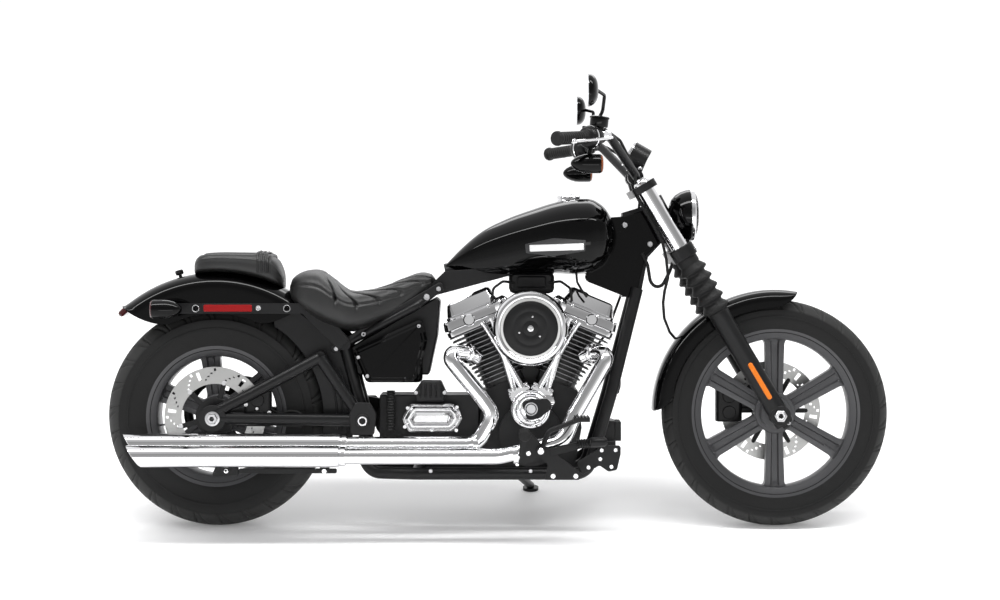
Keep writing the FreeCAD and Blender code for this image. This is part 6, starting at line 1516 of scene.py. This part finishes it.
piece("rubber_grips", "fork", rubber_black, right_grip, mirrored(right_grip), stands_for="grips",
      slot="rubber", sharp=50)

# Hand controls
# Black switch housings with bright bands inside the grips, tapered levers with ball ends, a brake
# reservoir at the right and a clutch perch at the left. Turned housings replace the CAD controls.
POD = np.array((252.3, -333.2, 1121.2))
POD_TURN = swung(47.3, "z")
HOUSING_LINE = [(14, -4), (24, -3), (28, 0), (31, 6), (32.5, 14), (32.5, 20), (30, 22), (30, 24), (32.5, 26),
                (32, 36), (29, 43), (24, 47), (14, 48)]
housing = turned(HOUSING_LINE, POD - GRIP_WAY * 6, GRIP_WAY, 48)
band = hoop(33.4, 14, 15.5, 20.5, POD - GRIP_WAY * 6, GRIP_WAY, 1, 48)
perch = box(POD + GRIP_WAY * 56 + (8, -4, 4), (44, 34, 28), 6, POD_TURN)
clamp_ring = hoop(19, 12.9, 44, 62, POD, GRIP_WAY, 2, 36)
reservoir = turned([(10, -13), (24, -12), (26, -9), (26, 11), (28, 12), (28, 16), (25, 18), (6, 18.5)],
                   (286, -306, 1163), (0.10, 0.0, 1), 40)
reservoir_foot = pipe([(292, -300, 1128), (287, -304, 1156)], 11, 5, 20)
lever_line = rounded([POD + GRIP_WAY * 56 + (18, -8, 0), (322, -318, 1121), (266, -378, 1112),
                      (214, -430, 1104)],
                     [0, 24, 60, 0], 8)
lever_size = np.interp(np.linspace(0, 1, len(lever_line)), (0, 0.3, 0.9, 1), (1.2, 1.0, 0.8, 0.9))
lever = carried(circle(8.0, 16, 0.62), lever_line, lever_size)
ball = turned([(2, -8), (6, -6), (8, 0), (6, 6), (2, 8)], (212, -432, 1103.5), GRIP_WAY, 20)
button_way = np.array((-0.35, 0.30, 0.89))
buttons = [box(POD + GRIP_WAY * along + button_way * 31.5, (12, 9, 8), 2, POD_TURN) for along in (4, 30)]
piece("switch_housings", "fork", satin_black, housing, mirrored(housing), stands_for="hand_controls",
      slot="satin_black")
piece("bar_bright_parts", "fork", chrome, band, mirrored(band), lever, mirrored(lever), ball, mirrored(ball),
      perch, mirrored(perch), slot="chrome")
piece("bar_dark_parts", "fork", gloss_black, reservoir, reservoir_foot, clamp_ring, mirrored(clamp_ring),
      *buttons, *[mirrored(button) for button in buttons], slot="satin_black")
piece("reservoir_screws", "fork", chrome,
      *[bolt((x, -306, z), (0.1, 0, 1), 3.5, 2) for x, z in ((272, 1182.4), (300, 1179.6))], slot="chrome")

# Mirrors
# Two mirrors on bent steel stems, screwed into the lever perches: a domed gloss black shell, with flat
# glass on its rider's side.


def mirror_rings(side, rings):
    """Rings of a mirror's outline, each at its own X and scale: a superellipse that droops at its outer
    end."""
    turn = angles_round(96)
    wide, high = np.cos(turn), np.sin(turn)
    y = 62 * np.abs(wide) ** 0.72 * np.sign(wide)
    z = 44 * np.abs(high) ** 0.86 * np.sign(high) - 5 * np.abs(wide) * wide
    return grid([np.column_stack((np.full(96, x), side * (400 + y * scale), 1246 + z * scale))
                 for x, scale in rings])


mirror_shells = []
mirror_stems = []
panes = []
for side in (-1, 1):
    dome = [(254 + 25 * math.sin(bow), 0.02 + 0.98 * math.cos(bow) ** 0.8)
            for bow in np.linspace(0, math.pi / 2 - 0.03, 14)]
    mirror_shells.append(mirror_rings(side, [(250.6, 0.93), (250.2, 0.965), (251.5, 0.995)] + dome))
    panes.append(mirror_rings(side, [(251.5, 0.94), (249.9, 0.935), (249.6, 0.90)]))
    stem = [(270, 314 * side, 1146), (296, 304 * side, 1196), (300, 330 * side, 1238),
            (276, 384 * side, 1248)]
    mirror_stems.append(pipe(stem, 5, 16, 16))
piece("mirror_shells", "fork", gloss_black, *mirror_shells, *mirror_stems, stands_for="mirrors",
      slot="satin_black", sharp=60)
mirror_glass = finish("mirror_glass", (0.72, 0.75, 0.78), 0.02, 1.0)
piece("mirror_panes", "fork", mirror_glass, *panes, slot="lens_clear")

# Hoses and cables
# The front brake line goes from the reservoir down behind the clamps to the caliper and turns with the
# fork. The wiring and the clutch cable cross the steering joint and belong to no body, and the rear brake
# line lies along the swingarm.
brake_route = [(284, -290, 1160), (352, -188, 1120), (398, -122, 1040), (404, -114, 962), (442, -112, 900),
               (478, -112, 832), (489, -110, 786), (496, -96, 730), (487, -80, 690), (484, -64, 655),
               (490, -30, 610), (512, 40, 566), (548, 88, 528), (610, 97, 462), (664, 92, 408),
               (676, 84, 398)]
piece("front_brake_line", "fork", rubber_black, pipe(brake_route, 4.2, 30, 12), slot="rubber")
rear_brake_route = [(-662, -100, 372), (-651, -103, 347), (-625, -105, 336), (-596, -105, 344),
                    (-573, -105, 341), (-553, -105, 324), (-533, -105, 312), (-486, -104, 315),
                    (-430, -96, 330)]
piece("rear_brake_line", "chassis", rubber_black, pipe(rear_brake_route, 4.0, 30, 12), slot="rubber")


def bending(name, shell):
    """A cable made on the frame and then freed from every body, with its place kept in its points."""
    cable = piece(name, "chassis", rubber_black, shell, slot="rubber")
    cable.parent = None
    del cable["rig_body"]
    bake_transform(cable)


loom_route = [(424, -46, 800), (440, -52, 765), (448, -52, 715), (464, -50, 700), (484, -46, 706),
              (506, -40, 748), (520, -30, 790)]
bending("wiring_loom", pipe(loom_route, 5, 30, 12))
clutch_route = [(150, 96, 390), (220, 122, 420), (330, 122, 560), (376, 92, 690), (396, 70, 800),
                (420, 72, 900), (430, 96, 990), (400, 180, 1080), (330, 270, 1130), (300, 300, 1128)]
bending("clutch_cable", pipe(clutch_route, 4, 90, 12))

# Foot controls
# Forward foot pegs with ribbed rubber on black plates, a brake pedal at the right with its master cylinder
# ahead of it, and a gear lever at the left.
softened("foot_pegs", satin_black, 1.5)
peg_line = [(14, 252), (16.5, 254), (17, 258)]
for low in range(262, 317, 9):
    peg_line += [(17, low), (14.8, low + 2), (14.8, low + 5), (17, low + 7)]
peg_line += [(17, 328), (14, 331), (6, 332)]
piece("peg_rubbers", "chassis", rubber_black,
      *[turned(peg_line, (79, 0, 292), (0, side, 0), 32) for side in (-1, 1)],
      slot="rubber", sharp=50)
softened("brake_pedal", satin_black, 1.5)
softened("gear_lever", satin_black, 1.5)
piece("pedal_rubber", "chassis", rubber_black,
      *[box((x, -274, 341.5), (5, 54, 4), 1.2) for x in range(220, 257, 9)],
      turned([(9, 248), (13, 250), (13, 306), (9, 308)], (238, 0, 334), (0, 1, 0), 28), slot="rubber")
PEG_PLATE_BOLTS = ((159, 172), (223, 172), (90, 236))
piece("plate_bolts", "chassis", bright_metal,
      *[bolt((x, 251 * side, z), (0, side, 0), 7, 5) for side in (-1, 1) for x, z in PEG_PLATE_BOLTS],
      *[bolt((124, 274.6 * side, 244), (0, side, 0), 9, 5) for side in (-1, 1)], slot="chrome")
control_line = corners_cut([(231, 198), (290, 236), (302, 247), (357, 247), (357, 222), (346, 176),
                            (322, 171), (296, 189), (249, 163), (231, 163)], [6, 16, 6, 8, 8, 8, 8, 12, 8, 6])
piece("forward_plates", "chassis", satin_black, *plate_pair(control_line, 124, 130, 1.6),
      *[drum(9, 98, 126, (x, 0, z), (0, side, 0), 1, 20) for side in (-1, 1)
        for x, z in ((290, 205), (262, 190))],
      slot="satin_black")
CONTROL_BOLTS = ((302, 233), (342, 234), (298, 208), (264, 184), (330, 186))
piece("forward_plate_bolts", "chassis", bright_metal,
      *[bolt((x, 130 * side, z), (0, side, 0), 6, 5) for side in (-1, 1) for x, z in CONTROL_BOLTS],
      slot="chrome")
bellows = [(9.5 if number % 2 else 12.5, 3.6 * number) for number in range(11)]
cylinder_body = turned([(12.5, 0), (13.5, 2), (13.5, 40), (9, 46), (5, 48)], (264, -250, 266),
                       (1, 0, 0.05), 24)
cylinder_foot = corners_cut([(150, 226), (240, 250), (296, 252), (296, 262), (236, 262), (150, 250)], 4)
piece("rear_master_cylinder", "chassis", satin_black, turned(bellows, (226, -250, 264), (1, 0, 0.05), 24),
      cylinder_body, drum(3.4, 0, 60, (168, -250, 252), (1, 0, 0.2), 0.6, 12),
      plate(cylinder_foot, -252, -245, 1), slot="satin_black")

# Stand, horn and regulator
# The side stand keeps its CAD leg and foot, with a spring. A finned regulator and a round horn hang ahead
# of the crankcase between the down tubes.
softened("side_stand", satin_black, 1.5)
softened("stand_bracket", satin_black, 1.0)
piece("regulator", "chassis", satin_black, box((330, 0, 280), (34, 104, 62), 4),
      *[box((354, y, 280), (18, 4, 56), 1) for y in range(-44, 45, 11)],
      box((312, 0, 280), (10, 150, 20), 2), slot="satin_black")
piece("horn", "chassis", satin_black,
      turned([(10, -14), (26, -12), (34, -4), (34, 4), (31, 8), (24, 7), (20, 11), (8, 13)], (352, 0, 420),
             (1, 0, 0), 48),
      pipe([(352, 0, 420), (332, 0, 452), (326, 0, 458)], 7, 8, 16), box((322, 0, 458), (8, 168, 22), 2),
      slot="satin_black")

# Floor
# A plain pale floor that keeps the soft shadow. It shows a little of its own white to the camera and in
# mirrors, more with the square of the distance from the machine, and so fades into the white backdrop.
FLOOR_HALF = 60
floor_mesh = bpy.data.meshes.new("floor")
floor_corners = [(-FLOOR_HALF, -FLOOR_HALF, 0), (FLOOR_HALF, -FLOOR_HALF, 0), (FLOOR_HALF, FLOOR_HALF, 0),
                 (-FLOOR_HALF, FLOOR_HALF, 0)]
floor_mesh.from_pydata(floor_corners, [], [(0, 1, 2, 3)])
pale_floor = Bench("pale_floor", Base_Color=(0.92, 0.92, 0.92), Roughness=0.95, Specular_IOR_Level=0.0)
rays = pale_floor.node("ShaderNodeLightPath", {}, (), "Is Camera Ray")
seen_by = rays + rays.beside("Is Glossy Ray") + rays.beside("Is Transmission Ray")
floor_x = pale_floor.node("ShaderNodeSeparateXYZ", {}, (pale_floor.place(),), "X")
floor_y = floor_x.beside("Y")
distance = (floor_x * floor_x + floor_y * floor_y) * 0.02
fade = {"Value": distance, "From_Min": 0.04, "From_Max": 1.2, "To_Min": 0.12, "To_Max": 0.34}
own_white = pale_floor.node("ShaderNodeMapRange", {}, fade, "Result")
pale_floor.set(pale_floor.shader, {"Emission_Color": own_white * seen_by, "Emission_Strength": 1.0})
floor_mesh.materials.append(pale_floor.material)
floor_thing = bpy.data.objects.new("floor", floor_mesh)
bpy.context.scene.collection.objects.link(floor_thing)

# Sky
# A studio's sky. The camera sees plain white. Shiny pieces see greys that darken with the height in front
# of the machine and white behind it, and dull pieces are lit by one even grey.


class Sky(Bench):
    """The world's nodes, added in the same way as a material's."""

    def __init__(self, name):
        self.world = bpy.data.worlds.new(name)
        self.world.use_nodes = True
        self.tree = self.world.node_tree

    def mixed(self, share, first, second):
        """Two colours mixed by a share."""
        return self.node("ShaderNodeMix", {"data_type": "RGBA"}, {0: share, 6: first, 7: second}, 2)


studio = Sky("studio")
way = studio.node("ShaderNodeTexCoord", {}, (), "Generated")
way_up = studio.node("ShaderNodeSeparateXYZ", {}, (way,), "Z")
behind = {"Value": way_up.beside("Y"), "From_Min": -0.15, "From_Max": 0.35}
towards_back = studio.node("ShaderNodeMapRange", {}, behind, "Result")
greys = {"stops": ((0.0, 0.95), (0.10, 0.85), (0.30, 0.42), (0.62, 0.34), (0.95, 0.80))}
in_front = studio.node("ShaderNodeValToRGB", greys, (way_up,), "Color")
shiny = studio.mixed(towards_back, in_front, (1.05, 1.05, 1.06))
rays = studio.node("ShaderNodeLightPath", {}, (), "Is Diffuse Ray")
light = studio.mixed(rays, shiny, (0.86, 0.86, 0.87))
lit = studio.node("ShaderNodeBackground", {}, {"Color": light, "Strength": 0.9})
white = studio.node("ShaderNodeBackground", {}, {"Color": (1.0, 1.0, 1.0), "Strength": 1.0})
chosen = studio.node("ShaderNodeMixShader", {}, (rays.beside("Is Camera Ray"), lit, white))
studio.set(studio.tree.nodes["World Output"], {"Surface": chosen})
bpy.context.scene.world = studio.world

# Lamps
# Three soft lamps as in a photographer's studio: a narrow one overhead along the machine, a long low one
# in front of it, and one high behind it for the rims. Each is (name, place, aim, size, power).
for lamp_name, where, aim, size, power in (
        ("overhead", (-0.6, -0.95, 4.0), (-0.6, 0.0, 0.4), (8.0, 0.5), 210),
        ("front", (0.2, -7.5, 0.55), (0, 0, 0.6), (7.0, 1.0), 60),
        ("rim", (0.5, 3.8, 3.0), (0, 0, 0.6), (4.6, 1.2), 50)):
    lamp = bpy.data.lights.new(lamp_name, "AREA")
    lamp.shape = "RECTANGLE"
    lamp.size, lamp.size_y = size
    lamp.energy = power
    holder = bpy.data.objects.new(lamp_name, lamp)
    holder.location = where
    holder.rotation_euler = Vector(np.subtract(aim, where)).to_track_quat("-Z", "Y").to_euler()
    bpy.context.scene.collection.objects.link(holder)

# Camera
# The camera looks square at the right side of the leaned machine, from six metres. Its own X, Y and Z are
# the machine's X, Z and right.
eye = bpy.data.cameras.new("camera")
eye.lens = 73.5
eye.sensor_width = 36.0
eye.shift_x = 0.002
eye.shift_y = -0.044
eye.clip_end = 200
viewer = bpy.data.objects.new("camera", eye)
viewer.location = parked((4.0, -6000.0, 791.5))
axes = np.column_stack((TO_ROW @ (1, 0, 0), TO_ROW @ (0, 0, 1), TO_ROW @ (0, -1, 0)))
viewer.rotation_euler = Matrix(axes.tolist()).to_euler()
bpy.context.scene.collection.objects.link(viewer)
bpy.context.scene.camera = viewer
bpy.context.scene.view_settings.view_transform = "Standard"
